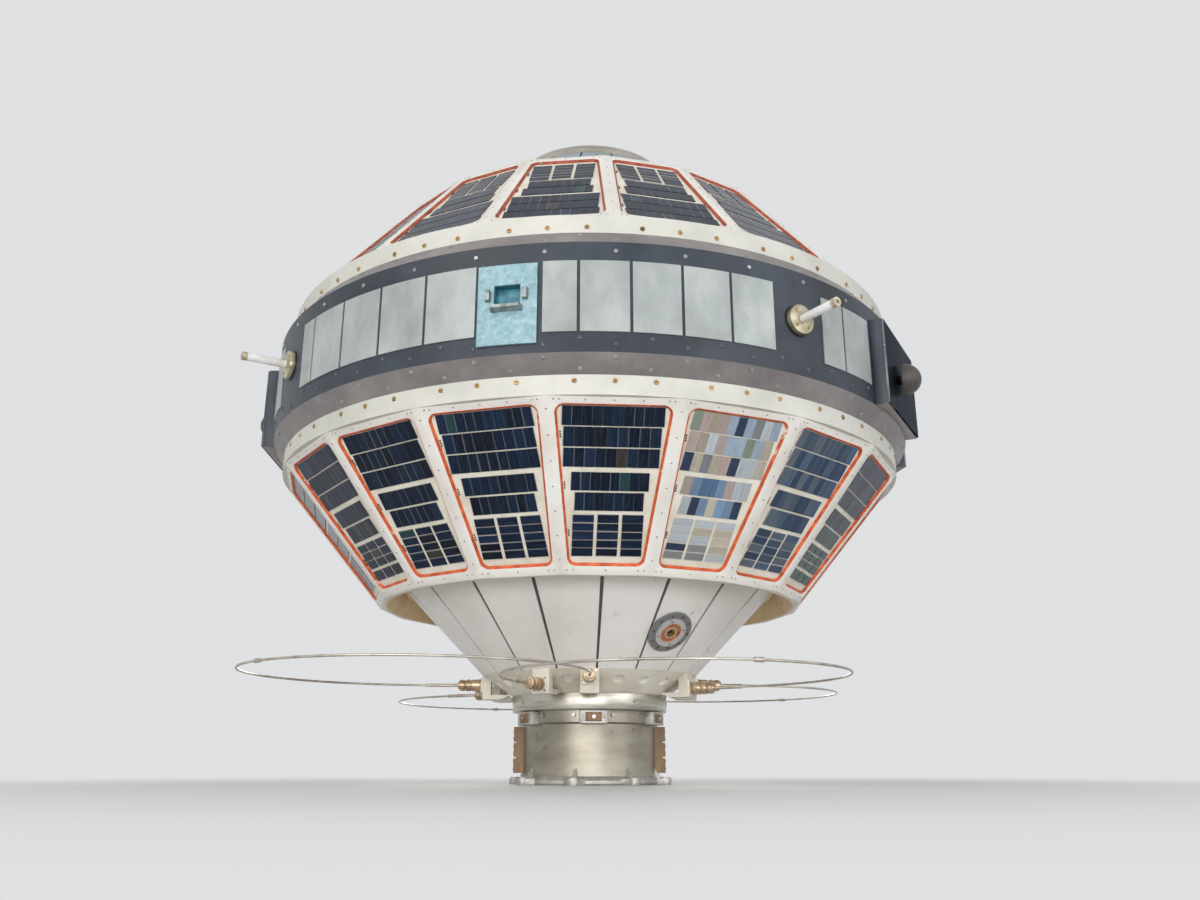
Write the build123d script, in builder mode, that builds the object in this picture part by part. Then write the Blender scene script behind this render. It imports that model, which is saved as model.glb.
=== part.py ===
from build123d import *
from math import atan2, cos, degrees, hypot, radians, sin
import os

# Body: two faceted solar cones joined by a round band, mirrored about the middle of the band.
BAND_RADIUS = 375.0
BAND_HALF = 54.5
BAND_WALL = 10.0
CHAMFER_STEP = 13.0
CHAMFER_RISE = 16.5
FLANGE_HEIGHT = 19.0
FLANGE_WALL = 12.0

# Faceted cones: step in from the flange ring, corner radius at the narrow end, depth along the axis.
SIDES = 18
WIDE_STEP = 0.1
NARROW_RADIUS = 245.4
SOLAR_DEPTH = 140.5
FRAME_WALL = 8.0
LOWER_TURN = 3.5
UPPER_TURN = 13.5

# Window of one facet, and what lies in it.
RIB_WIDTH = 14.5
WINDOW_TOP_MARGIN = 7.0
WINDOW_END_MARGIN = 9.5
WINDOW_CORNER = 9.0
POCKET_DEPTH = 4.6
BOARD_THICK = 1.6
SEAL_WIDTH = 2.2
SEAL_HEIGHT = 2.7
CELL_THICK = 1.0

# Cell rows of one panel: start and depth as shares of the window's length, width as a share of its width.
CELL_ROWS = (
    (0.0182, 0.1139, 0.897),
    (0.1406, 0.1164, 0.898),
    (0.2667, 0.1127, 0.930),
    (0.4121, 0.1115, 0.807),
    (0.5370, 0.1115, 0.757),
)
# Cell columns at the narrow end: start and length as shares, for a plain and a split panel.
LONG_COLUMNS = ((0.6727, 0.2691),)
SPLIT_COLUMNS = ((0.6727, 0.1794), (0.8667, 0.0752))
COLUMN_COUNT = 3
COLUMN_SHARE = 0.891
COLUMN_GAP = 3.4
SPLIT_EVERY = 6
SPLIT_FIRST = 3

# Metal cones at the two ends: their edge, measured in from the end of the faceted cone, and their gore skins.
EDGE_REACH = 30.67
EDGE_SINK = 15.0
CONE_RISE = 1.04
CONE_WALL = 4.0
SKIN_THICK = 1.5
SKIN_CLEAR = 0.3
SKIN_OVERLAP = 15.0
SEAM_DEGREES = 1.1
LIP_LENGTH = 15.0
LIP_THICK = 2.5
GORE_HOLE = 2.6
GORE_HOLE_REACH = 8.0

# Lower end, from the floor up: adapter rim, tube, neck, collar, antenna ring.
TUBE_RADIUS = 75.0
TUBE_WALL = 2.5
TUBE_LENGTH = 54.0
RIM_HEIGHT = 9.0
RIM_STEP = 5.0
NECK_STEP = 2.0
NECK_HEIGHT = 15.0
COLLAR_STEP = 11.5
COLLAR_HEIGHT = 17.5
BULKHEAD_THICK = 6.0
RING_REACH = 34.5
RING_RISE = 22.5
RING_STEP = 0.46
RING_WALL = 5.0
LUG_COUNT = 8
LUG_TURN = -11.5
LUG_REACH = 7.0
LUG_RADIUS = 6.5
LUG_FLARE = 5.5
LUG_HOLE = 2.75
LUG_HEIGHT = 6.5
LUG_BOSS = 1.2
GUSSET_RISE = 8.0
GUSSET_WIDTH = 4.0
HOLE_RADIUS = 6.6
HOLE_SHARE = 0.565
HOLE_TURNS = (16.5, 32.5, 48.5)
HOLE_BETWEEN = -12.5

# Upper end.
TOP_RIM_RADIUS = 104.27
TOP_RIM_HEIGHT = 13.0
TOP_RIM_WALL = 10.0
TOP_PLATE_THICK = 4.0
COLUMN_RADIUS = 60.0

# Antenna loops: azimuth of the first feed, lead from feed to loop, drop of the feeds below the ring's top.
LOOPS = (
    (-90.0, 19.6, 9.0),
    (90.0, 7.6, 9.0),
    (-25.0, 13.6, 16.0),
    (155.0, 21.6, 16.0),
)
LOOP_WIRE = 1.2
LOOP_SLEEVE = 1.9
CRIMP_RADIUS = 2.2
CRIMP_LENGTH = 8.0
SLEEVE_ARC = 6.0
BASE_WIDTH = 20.0
BASE_DROP = 3.0
FEED_SQUARE = 16.5
FEED_FLANGE = 2.4
FEED_RADIUS = 6.8
FEED_LENGTH = 27.0
# Turned steps of a feed: start and end as shares of its length, radius as a share of its radius.
FEED_STEPS = (
    (0.0, 0.40, 1.0),
    (0.40, 0.45, 0.84),
    (0.45, 0.65, 0.98),
    (0.65, 0.70, 0.80),
    (0.70, 0.92, 0.94),
    (0.92, 1.0, 0.66),
)

# Latch saddles and terminal strips on the adapter.
SADDLE_COUNT = 6
SADDLE_TURN = 3.0
SADDLE_WIDTH = 30.0
SADDLE_HEIGHT = 14.0
SADDLE_DEPTH = 9.0
BLOCK_WIDTH = 17.0
BLOCK_HEIGHT = 9.0
BLOCK_DEPTH = 6.0
STRIP_WIDTH = 20.0
STRIP_DEPTH = 11.0
STRIP_RISE = 3.0
STRIP_TURN = 88.0
PLUG_TURN = -33.0
SOCKET_TURN = 122.0
PLUG_RISE = 19.0
PLUG_RADIUS = 6.5
PLUG_LENGTH = 24.0

# Detectors on the metal cones: each stands part of the way from the cone's end to its edge.
LOWER_EYE_TURN = 32.0
LOWER_EYE_SHARE = 0.3977
UPPER_EYE_TURN = 3.5
UPPER_EYE_SHARE = 0.5222
EYE_FLANGE = 25.0
EYE_RING = 17.5
EYE_COPPER = 12.0
EYE_BRASS = 7.0
EYE_PIN = 3.2

# Band fittings.
PLATE_THICK = 1.2
PLATE_MARGIN = 19.5
PLATE_GAP = 0.45
PLATE_CLEAR = 0.05
# Runs of cover plates: first azimuth, last azimuth, number of plates.
PLATE_RUNS = (
    (-75.2, -63.1, 2),
    (-52.9, -48.8, 1),
    (-48.8, -16.1, 4),
    (-6.9, -1.7, 1),
    (-1.7, 27.6, 4),
    (36.8, 42.1, 1),
    (42.1, 49.8, 1),
    (72.6, 86.6, 2),
    (126.8, 168.0, 5),
    (192.0, 207.4, 2),
    (217.0, 224.0, 1),
    (248.4, 261.0, 2),
)
SENSOR_SPAN = (-15.9, -7.4)
SENSOR_LOW_MARGIN = 9.0
SENSOR_HIGH_MARGIN = 21.0
SENSOR_THICK = 2.4
SENSOR_WINDOW = (25.0, 21.0)
SENSOR_WINDOW_RISE = 2.5
HOOD_SIZE = (30.0, 6.0, 9.0)
CLIP_SIZE = (5.0, 11.0, 5.0)
ROD_TURN = 32.0
ROD_COUNT = 4
ROD_RISE = 1.5
ROD_RADIUS = 4.2
ROD_LENGTH = 41.0
ROD_CAP_LENGTH = 5.0
ROD_BASE_RADIUS = 15.0
ROD_BASE_HEIGHT = 6.0
ROD_BASE_SINK = 4.0
BOX_TURNS = (61.2, 98.5, 180.0, 236.0, 273.0)
BOX_SPAN = 20.22
BOX_TOP_MARGIN = 15.0
BOX_PROUD = 6.5
BOX_DEPTH = 30.0
MIRROR_THICK = 2.0
DOME_RADIUS = 17.0
DOME_GAP = 4.0
DOME_STEM = 5.0
WEDGE_TURN = 79.6
WEDGE_SIZE = (15.0, 11.0, 18.0)

# Radii and heights that follow from these sizes.
CHAMFER_RADIUS = BAND_RADIUS - CHAMFER_STEP
CHAMFER_HALF = BAND_HALF + CHAMFER_RISE
WIDE_RADIUS = CHAMFER_RADIUS - WIDE_STEP
WIDE_HALF = CHAMFER_HALF + FLANGE_HEIGHT
NARROW_HALF = WIDE_HALF + SOLAR_DEPTH
FACET = 360.0 / SIDES
WIDE_FLAT = WIDE_RADIUS * cos(radians(FACET / 2))
NARROW_FLAT = NARROW_RADIUS * cos(radians(FACET / 2))
SLOPE_LENGTH = hypot(WIDE_FLAT - NARROW_FLAT, NARROW_HALF - WIDE_HALF)
FACET_LIFT = degrees(atan2(WIDE_FLAT - NARROW_FLAT, NARROW_HALF - WIDE_HALF))
WINDOW_LENGTH = SLOPE_LENGTH - WINDOW_TOP_MARGIN - WINDOW_END_MARGIN
WALL_ACROSS = FRAME_WALL / cos(radians(FACET_LIFT))
CONE_EDGE_RADIUS = NARROW_FLAT - EDGE_REACH
CONE_EDGE_HALF = NARROW_HALF - EDGE_SINK
CONE_LIFT = degrees(atan2(1.0, CONE_RISE))
SKIN_OUTER_RADIUS = CONE_EDGE_RADIUS + SKIN_OVERLAP
BORE_RADIUS = TUBE_RADIUS - TUBE_WALL
RIM_RADIUS = TUBE_RADIUS + RIM_STEP
LUG_CIRCLE = RIM_RADIUS + LUG_REACH
NECK_RADIUS = TUBE_RADIUS + NECK_STEP
NECK_BOTTOM = RIM_HEIGHT + TUBE_LENGTH
COLLAR_RADIUS = NECK_RADIUS + COLLAR_STEP
COLLAR_BOTTOM = NECK_BOTTOM + NECK_HEIGHT
COLLAR_TOP = COLLAR_BOTTOM + COLLAR_HEIGHT
RING_RADIUS = COLLAR_RADIUS + RING_REACH
RING_TOP = COLLAR_TOP + RING_RISE
FEED_START = RING_RADIUS + FEED_FLANGE
FEED_END = FEED_START + FEED_LENGTH
MID = RING_TOP + CONE_EDGE_HALF + (CONE_EDGE_RADIUS - RING_RADIUS + RING_STEP) * CONE_RISE
TOP_RIM_BOTTOM = MID + CONE_EDGE_HALF + (CONE_EDGE_RADIUS - TOP_RIM_RADIUS) * CONE_RISE
TOP_RIM_TOP = TOP_RIM_BOTTOM + TOP_RIM_HEIGHT
LOWER_EYE_RADIUS = RING_RADIUS + LOWER_EYE_SHARE * (CONE_EDGE_RADIUS - RING_RADIUS)
UPPER_EYE_RADIUS = TOP_RIM_RADIUS + UPPER_EYE_SHARE * (CONE_EDGE_RADIUS - TOP_RIM_RADIUS)
BOX_FACE = BAND_RADIUS + BOX_PROUD
BOX_WIDTH = 2 * BOX_FACE * sin(radians(BOX_SPAN / 2)) / cos(radians(BOX_SPAN / 2))
BOX_HEIGHT = 2 * BAND_HALF - BOX_TOP_MARGIN
ROD_BASE_SEAT = BAND_RADIUS - ROD_BASE_SINK
DOWN = -1
UP = 1


def spot(radius, azimuth, height):
    turn = radians(azimuth)
    return (radius * sin(turn), -radius * cos(turn), height)


def facing(radius, azimuth, height, lift=0.0):
    turn = radians(azimuth)
    tip = radians(lift)
    return Plane(
        origin=spot(radius, azimuth, height),
        x_dir=(cos(turn), sin(turn), 0),
        z_dir=(sin(turn) * cos(tip), -cos(turn) * cos(tip), sin(tip)),
    )


def cone_height(radius, side, offset=0.0):
    drop = offset * hypot(1.0, CONE_RISE)
    return MID + side * (CONE_EDGE_HALF + (CONE_EDGE_RADIUS - radius) * CONE_RISE - drop)


def cone_radius(height, side, offset=0.0):
    drop = offset * hypot(1.0, CONE_RISE)
    return CONE_EDGE_RADIUS - (side * (height - MID) + drop - CONE_EDGE_HALF) / CONE_RISE


def turned(points):
    with BuildPart() as piece:
        with BuildSketch(Plane.XZ):
            with BuildLine():
                Polyline(*points, close=True)
            make_face()
        revolve(axis=Axis.Z)
    return piece.part


def arc_tile(first, last, inner, outer, bottom, top):
    with BuildPart() as piece:
        with BuildSketch(Plane.XZ):
            with Locations(((inner + outer) / 2, (bottom + top) / 2)):
                Rectangle(outer - inner, top - bottom)
        revolve(axis=Axis.Z, revolution_arc=last - first)
    return piece.part.rotate(Axis.Z, first - 90)


def facet_planes(side, turn):
    radius = (WIDE_FLAT + NARROW_FLAT) / 2
    height = MID + side * (WIDE_HALF + NARROW_HALF) / 2
    return [facing(radius, turn + FACET * k, height, side * FACET_LIFT) for k in range(SIDES)]


def facet_half_width(along):
    share = along / SLOPE_LENGTH
    flat = WIDE_FLAT + (NARROW_FLAT - WIDE_FLAT) * share
    return flat * sin(radians(FACET / 2)) / cos(radians(FACET / 2))


def window_half_width(along):
    return facet_half_width(along) - RIB_WIDTH / 2


def window_outline(side, inset):
    start = WINDOW_TOP_MARGIN + inset
    end = SLOPE_LENGTH - WINDOW_END_MARGIN - inset
    wide = window_half_width(start) - inset
    narrow = window_half_width(end) - inset
    y_wide = side * (start - SLOPE_LENGTH / 2)
    y_narrow = side * (end - SLOPE_LENGTH / 2)
    return ((-wide, y_wide), (wide, y_wide), (narrow, y_narrow), (-narrow, y_narrow))


def window_block(side, inset, corner, floor, height):
    with BuildPart() as piece:
        with BuildSketch(Plane.XY.offset(floor)) as outline:
            with BuildLine():
                Polyline(*window_outline(side, inset), close=True)
            make_face()
            if corner > 0:
                fillet(outline.vertices(), corner)
        extrude(amount=height)
    return piece.part


def seal_frame(side):
    with BuildPart() as piece:
        floor = -POCKET_DEPTH + BOARD_THICK
        add(window_block(side, 0.0, WINDOW_CORNER, floor, SEAL_HEIGHT))
        inner = window_block(side, SEAL_WIDTH, WINDOW_CORNER - SEAL_WIDTH, floor, SEAL_HEIGHT)
        add(inner, mode=Mode.SUBTRACT)
    return piece.part


def panel_cells(side, columns):
    level = -POCKET_DEPTH + BOARD_THICK + CELL_THICK / 2
    first = WINDOW_TOP_MARGIN - SLOPE_LENGTH / 2
    column_end = WINDOW_TOP_MARGIN + sum(LONG_COLUMNS[0]) * WINDOW_LENGTH
    column_pitch = (2 * COLUMN_SHARE * window_half_width(column_end) + COLUMN_GAP) / COLUMN_COUNT
    with BuildPart() as piece:
        for start, depth, share in CELL_ROWS:
            end = WINDOW_TOP_MARGIN + (start + depth) * WINDOW_LENGTH
            with Locations((0, side * (first + (start + depth / 2) * WINDOW_LENGTH), level)):
                Box(2 * share * window_half_width(end), depth * WINDOW_LENGTH, CELL_THICK)
        for start, length in columns:
            with Locations((0, side * (first + (start + length / 2) * WINDOW_LENGTH), level)):
                with GridLocations(column_pitch, 1, COLUMN_COUNT, 1):
                    Box(column_pitch - COLUMN_GAP, length * WINDOW_LENGTH, CELL_THICK)
    return piece.part


def facet_frame(side, turn):
    ends = ((WIDE_RADIUS, WIDE_HALF), (NARROW_RADIUS, NARROW_HALF))
    corner = turn + FACET / 2 - 90
    across = WALL_ACROSS / cos(radians(FACET / 2))
    with BuildPart() as piece:
        for radius, half in ends:
            with BuildSketch(Plane.XY.offset(MID + side * half)):
                RegularPolygon(radius, SIDES, rotation=corner)
        loft(ruled=True)
        for radius, half in ends:
            with BuildSketch(Plane.XY.offset(MID + side * half)):
                RegularPolygon(radius - across, SIDES, rotation=corner)
        loft(ruled=True, mode=Mode.SUBTRACT)
        with Locations(*facet_planes(side, turn)):
            add(window_block(side, 0.0, WINDOW_CORNER, -POCKET_DEPTH, POCKET_DEPTH + 5), mode=Mode.SUBTRACT)
        add(turned(edge_relief(side)), mode=Mode.SUBTRACT)
    return piece.part


def edge_profile(side):
    run = hypot(1.0, CONE_RISE)
    step = (LIP_THICK * CONE_RISE / run, LIP_THICK / run)
    far = CONE_EDGE_RADIUS + LIP_LENGTH / run
    back = far + 2.6
    foot = NARROW_FLAT - 3.6
    end = MID + side * NARROW_HALF
    return (
        (CONE_EDGE_RADIUS, cone_height(CONE_EDGE_RADIUS, side)),
        (CONE_EDGE_RADIUS + step[0], cone_height(CONE_EDGE_RADIUS, side) + side * step[1]),
        (far + step[0], cone_height(far, side) + side * step[1]),
        (foot - 2.2, end),
        (foot, end),
        (back + 2.4, cone_height(back, side) + side * 2.0),
        (back, cone_height(back, side)),
    )


def edge_relief(side):
    foot, back = edge_profile(side)[4:6]
    inside = CONE_EDGE_RADIUS - LIP_LENGTH
    return (foot, back, (inside, back[1]), (inside, foot[1]))


# Launcher adapter, from the rim upward.
with BuildPart() as adapter_rim:
    with BuildSketch(Plane.XZ):
        with BuildLine():
            Polyline(
                (BORE_RADIUS, 0), (RIM_RADIUS - 1.5, 0), (RIM_RADIUS, 1.5), (RIM_RADIUS, 4.5),
                (TUBE_RADIUS, RIM_HEIGHT), (BORE_RADIUS, RIM_HEIGHT), close=True,
            )
        make_face()
    revolve(axis=Axis.Z)
    with BuildSketch():
        with PolarLocations(LUG_CIRCLE, LUG_COUNT, LUG_TURN - 90):
            Circle(LUG_RADIUS)
            flare = LUG_RADIUS + LUG_FLARE
            root = -LUG_REACH - 1.5
            Polygon((root, -flare), (0, -LUG_RADIUS), (0, LUG_RADIUS), (root, flare), align=None)
        Circle(RIM_RADIUS - 4, mode=Mode.SUBTRACT)
    extrude(amount=LUG_HEIGHT)
    with BuildSketch(Plane.XY.offset(LUG_HEIGHT)):
        with PolarLocations(LUG_CIRCLE, LUG_COUNT, LUG_TURN - 90):
            Circle(LUG_RADIUS - 1.5)
    extrude(amount=LUG_BOSS)
    for k in range(LUG_COUNT):
        with BuildSketch(facing(0, LUG_TURN + 360 / LUG_COUNT * k + 90, 0)):
            with BuildLine():
                Polyline(
                    (-TUBE_RADIUS, LUG_HEIGHT - 1), (-LUG_CIRCLE + LUG_RADIUS - 2, LUG_HEIGHT - 1),
                    (-LUG_CIRCLE + LUG_RADIUS - 2, LUG_HEIGHT), (-TUBE_RADIUS, RIM_HEIGHT + GUSSET_RISE),
                    close=True,
                )
            make_face()
        extrude(amount=GUSSET_WIDTH / 2, both=True)
    with PolarLocations(LUG_CIRCLE, LUG_COUNT, LUG_TURN - 90):
        Hole(LUG_HOLE)

with BuildPart() as adapter_tube:
    add(turned((
        (BORE_RADIUS, RIM_HEIGHT), (TUBE_RADIUS, RIM_HEIGHT),
        (TUBE_RADIUS, NECK_BOTTOM), (BORE_RADIUS, NECK_BOTTOM),
    )))

with BuildPart() as adapter_neck:
    add(turned((
        (BORE_RADIUS, NECK_BOTTOM), (TUBE_RADIUS, NECK_BOTTOM), (NECK_RADIUS, NECK_BOTTOM + 2),
        (NECK_RADIUS, COLLAR_BOTTOM), (BORE_RADIUS, COLLAR_BOTTOM),
    )))

with BuildPart() as adapter_bulkhead:
    with Locations((0, 0, COLLAR_BOTTOM)):
        Cylinder(NECK_RADIUS, BULKHEAD_THICK, align=(Align.CENTER, Align.CENTER, Align.MIN))

with BuildPart() as adapter_collar:
    add(turned((
        (NECK_RADIUS, COLLAR_BOTTOM), (COLLAR_RADIUS, COLLAR_BOTTOM),
        (COLLAR_RADIUS, COLLAR_TOP), (NECK_RADIUS, COLLAR_TOP),
    )))

saddle_height = COLLAR_BOTTOM - 1.0 - SADDLE_HEIGHT / 2
saddle_planes = [
    facing(NECK_RADIUS, SADDLE_TURN + 360 / SADDLE_COUNT * k, saddle_height) for k in range(SADDLE_COUNT)
]
with BuildPart() as latch_saddles:
    with BuildSketch(*saddle_planes):
        Rectangle(SADDLE_WIDTH, SADDLE_HEIGHT)
    extrude(amount=SADDLE_DEPTH)
    with BuildSketch(*saddle_planes):
        Rectangle(SADDLE_WIDTH, SADDLE_HEIGHT)
    extrude(amount=-4)
    with BuildSketch(*[plane.offset(SADDLE_DEPTH - BLOCK_DEPTH) for plane in saddle_planes]):
        Rectangle(BLOCK_WIDTH, BLOCK_HEIGHT)
    extrude(amount=BLOCK_DEPTH + 1, mode=Mode.SUBTRACT)
    Cylinder(NECK_RADIUS, 4 * COLLAR_TOP, mode=Mode.SUBTRACT)

with BuildPart() as latch_blocks:
    with BuildSketch(*[plane.offset(SADDLE_DEPTH - BLOCK_DEPTH) for plane in saddle_planes]):
        Rectangle(BLOCK_WIDTH, BLOCK_HEIGHT)
    extrude(amount=BLOCK_DEPTH + 0.8)


def terminal_strip(azimuth):
    bottom = RIM_HEIGHT + STRIP_RISE
    height = NECK_BOTTOM - 1.0 - bottom
    plane = facing(TUBE_RADIUS, azimuth, bottom + height / 2)
    with BuildPart() as piece:
        with BuildSketch(plane.offset(-4)):
            Rectangle(STRIP_WIDTH, height)
        extrude(amount=STRIP_DEPTH + 4)
        with BuildSketch(plane.offset(STRIP_DEPTH - 3)):
            with GridLocations(1, height / 3, 1, 2):
                Rectangle(STRIP_WIDTH, 1.4)
        extrude(amount=3, mode=Mode.SUBTRACT)
        Cylinder(TUBE_RADIUS, 4 * COLLAR_TOP, mode=Mode.SUBTRACT)
    return piece.part


with BuildPart() as terminal_strip_left:
    add(terminal_strip(-STRIP_TURN))

with BuildPart() as terminal_strip_right:
    add(terminal_strip(STRIP_TURN))


def wall_plug(azimuth, steps):
    plane = facing(BORE_RADIUS, azimuth, RIM_HEIGHT + PLUG_RISE)
    with BuildPart() as piece:
        for start, end, radius in steps:
            with BuildSketch(plane.offset(-start)):
                Circle(radius)
            extrude(amount=start - end)
        with BuildSketch(plane.offset(4)):
            Circle(PLUG_RADIUS)
        extrude(amount=-5)
        Cylinder(BORE_RADIUS, 4 * COLLAR_TOP, mode=Mode.INTERSECT)
    return piece.part


with BuildPart() as inner_plug:
    add(wall_plug(PLUG_TURN, ((0.5, 9, 5.4), (9, 17, PLUG_RADIUS), (17, PLUG_LENGTH, 5.8))))

with BuildPart() as inner_socket:
    add(wall_plug(SOCKET_TURN, ((0.5, 14, 5.6), (14, PLUG_LENGTH, PLUG_RADIUS))))
    with BuildSketch(facing(BORE_RADIUS - PLUG_LENGTH, SOCKET_TURN, RIM_HEIGHT + PLUG_RISE)):
        Circle(PLUG_RADIUS - 1.5)
    extrude(amount=5, mode=Mode.SUBTRACT)

# Antenna ring with its feeds and wire loops.
ring_lift = -degrees(atan2(RING_RADIUS - COLLAR_RADIUS, RING_TOP - COLLAR_TOP))
hole_circle = COLLAR_RADIUS + HOLE_SHARE * RING_REACH
hole_height = COLLAR_TOP + HOLE_SHARE * RING_RISE
hole_turns = [quarter + turn for quarter in (0, 90, 180, 270) for turn in (*HOLE_TURNS, HOLE_BETWEEN)]
ring_section = (
    (NECK_RADIUS, COLLAR_TOP), (COLLAR_RADIUS, COLLAR_TOP), (RING_RADIUS, RING_TOP),
    (RING_RADIUS - 10, RING_TOP), (COLLAR_RADIUS - 3, COLLAR_TOP + RING_WALL),
    (NECK_RADIUS, COLLAR_TOP + RING_WALL),
)
with BuildPart() as antenna_ring:
    add(turned(ring_section))
    with BuildSketch(*[facing(hole_circle, turn, hole_height, ring_lift) for turn in hole_turns]):
        Circle(HOLE_RADIUS)
    extrude(amount=20, both=True, mode=Mode.SUBTRACT)

feeds = [(first + step, RING_TOP - drop) for first, lead, drop in LOOPS for step in (0, 90)]
feed_planes = [facing(RING_RADIUS, turn, height) for turn, height in feeds]
with BuildPart() as antenna_bases:
    for turn, height in feeds:
        with BuildSketch(facing(0, turn + 90, 0)):
            with BuildLine():
                Polyline(
                    (-COLLAR_RADIUS - 4, COLLAR_TOP + 1), (-COLLAR_RADIUS - 14, COLLAR_TOP - BASE_DROP),
                    (-RING_RADIUS, COLLAR_TOP - BASE_DROP), (-RING_RADIUS, RING_TOP),
                    (-COLLAR_RADIUS - 4, RING_TOP), close=True,
                )
            make_face()
        extrude(amount=BASE_WIDTH / 2, both=True)
    add(turned(ring_section), mode=Mode.SUBTRACT)
    with BuildSketch(Plane.XY.offset(COLLAR_TOP + 2)):
        Circle(RING_RADIUS - 9)
    extrude(amount=RING_RISE * 2, mode=Mode.SUBTRACT)
    with BuildSketch(*feed_planes):
        Rectangle(FEED_SQUARE, FEED_SQUARE)
    extrude(amount=FEED_FLANGE)

with BuildPart() as antenna_feeds:
    for start, end, share in FEED_STEPS:
        with BuildSketch(*[plane.offset(FEED_FLANGE + start * FEED_LENGTH) for plane in feed_planes]):
            Circle(share * FEED_RADIUS)
        extrude(amount=(end - start) * FEED_LENGTH)


def wire_loop(first, lead, drop):
    radius = FEED_END + lead
    height = RING_TOP - drop
    out = spot(radius, first, height)
    across = spot(radius, first + 90, 0)
    centre = (out[0] + across[0], out[1] + across[1], height)
    spine = Axis(centre, (0, 0, 1))
    with BuildPart() as piece:
        with BuildSketch(facing(radius, first, height)):
            Circle(LOOP_WIRE)
        revolve(axis=spine, revolution_arc=270)
        for turn, around in ((first, spine), (first + 90, spine.reverse())):
            with BuildSketch(facing(radius, turn, height)):
                Circle(LOOP_SLEEVE)
            extrude(amount=FEED_END - radius)
            with BuildSketch(facing(radius, turn, height)):
                Circle(LOOP_SLEEVE)
            revolve(axis=around, revolution_arc=SLEEVE_ARC)
        crimp = Plane(
            origin=spot(radius * (2 ** 0.5 + 1), first + 45, height),
            x_dir=spot(1, first + 45, 0),
            z_dir=spot(1, first + 135, 0),
        )
        with BuildSketch(crimp):
            Circle(CRIMP_RADIUS)
        extrude(amount=CRIMP_LENGTH / 2, both=True)
    return piece.part


with BuildPart() as antenna_loop_left:
    add(wire_loop(*LOOPS[0]))

with BuildPart() as antenna_loop_right:
    add(wire_loop(*LOOPS[1]))

with BuildPart() as antenna_loop_front:
    add(wire_loop(*LOOPS[2]))

with BuildPart() as antenna_loop_rear:
    add(wire_loop(*LOOPS[3]))


# Metal cones: a dark core, gore skins with open seams, and a detector on each.
def cone_core(side, end):
    outer = SKIN_THICK + SKIN_CLEAR
    inner = outer + CONE_WALL
    return turned((
        (cone_radius(end, side, outer), end),
        (SKIN_OUTER_RADIUS, cone_height(SKIN_OUTER_RADIUS, side, outer)),
        (SKIN_OUTER_RADIUS, cone_height(SKIN_OUTER_RADIUS, side, inner)),
        (cone_radius(end, side, inner), end),
    ))


def gore_skins(side, end, turn):
    with BuildPart() as gore:
        with BuildSketch(Plane.XZ):
            with BuildLine():
                Polyline(
                    (cone_radius(end, side), end),
                    (SKIN_OUTER_RADIUS, cone_height(SKIN_OUTER_RADIUS, side)),
                    (SKIN_OUTER_RADIUS, cone_height(SKIN_OUTER_RADIUS, side, SKIN_THICK)),
                    (cone_radius(end, side, SKIN_THICK), end),
                    close=True,
                )
            make_face()
        revolve(axis=Axis.Z, revolution_arc=FACET - SEAM_DEGREES)
    with BuildPart() as piece:
        with PolarLocations(0, SIDES, turn + SEAM_DEGREES / 2 - 90):
            add(gore.part)
    return piece.part


def eye_plane(side, turn, radius):
    return facing(radius, turn, cone_height(radius, side), side * CONE_LIFT)


def eye_stack(plane, steps):
    with BuildPart() as piece:
        for outer, inner, start, end in steps:
            with BuildSketch(plane.offset(start)):
                Circle(outer)
                if inner > 0:
                    Circle(inner, mode=Mode.SUBTRACT)
            extrude(amount=end - start)
    return piece.part


lower_eye = eye_plane(DOWN, LOWER_EYE_TURN, LOWER_EYE_RADIUS)
upper_eye = eye_plane(UP, UPPER_EYE_TURN, UPPER_EYE_RADIUS)
FLANGE_STEPS = ((EYE_FLANGE, EYE_RING, 0.0, 2.0), (EYE_RING, EYE_COPPER, -2.0, 3.4))
COPPER_STEPS = ((EYE_COPPER, EYE_BRASS, -2.0, 2.4),)
CORE_STEPS = ((EYE_BRASS, EYE_PIN, -2.0, 3.0), (EYE_PIN, 0.0, -2.0, 1.2))

with BuildPart() as lower_cone_core:
    add(cone_core(DOWN, RING_TOP))
    with BuildSketch(lower_eye.offset(-2)):
        Circle(EYE_RING)
    extrude(amount=10, mode=Mode.SUBTRACT)

with BuildPart() as lower_cone_skins:
    add(gore_skins(DOWN, RING_TOP, LOWER_TURN))
    with BuildSketch(lower_eye.offset(-4)):
        Circle(EYE_RING)
    extrude(amount=10, mode=Mode.SUBTRACT)

with BuildPart() as lower_detector_flange:
    add(eye_stack(lower_eye, FLANGE_STEPS))

with BuildPart() as lower_detector_ring:
    add(eye_stack(lower_eye, COPPER_STEPS))

with BuildPart() as lower_detector_core:
    add(eye_stack(lower_eye, CORE_STEPS))

with BuildPart() as upper_cone_core:
    add(cone_core(UP, TOP_RIM_BOTTOM))
    with BuildSketch(upper_eye.offset(-2)):
        Circle(EYE_RING)
    extrude(amount=10, mode=Mode.SUBTRACT)

with BuildPart() as upper_cone_skins:
    add(gore_skins(UP, TOP_RIM_BOTTOM, UPPER_TURN))
    with BuildSketch(upper_eye.offset(-4)):
        Circle(EYE_RING)
    extrude(amount=10, mode=Mode.SUBTRACT)
    gore_middles = [UPPER_TURN + FACET * (k + 0.5) for k in range(SIDES)]
    with BuildSketch(*[eye_plane(UP, turn, TOP_RIM_RADIUS + GORE_HOLE_REACH) for turn in gore_middles]):
        Circle(GORE_HOLE)
    extrude(amount=SKIN_THICK, both=True, mode=Mode.SUBTRACT)

with BuildPart() as upper_detector_flange:
    add(eye_stack(upper_eye, FLANGE_STEPS))

with BuildPart() as upper_detector_ring:
    add(eye_stack(upper_eye, COPPER_STEPS))

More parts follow.
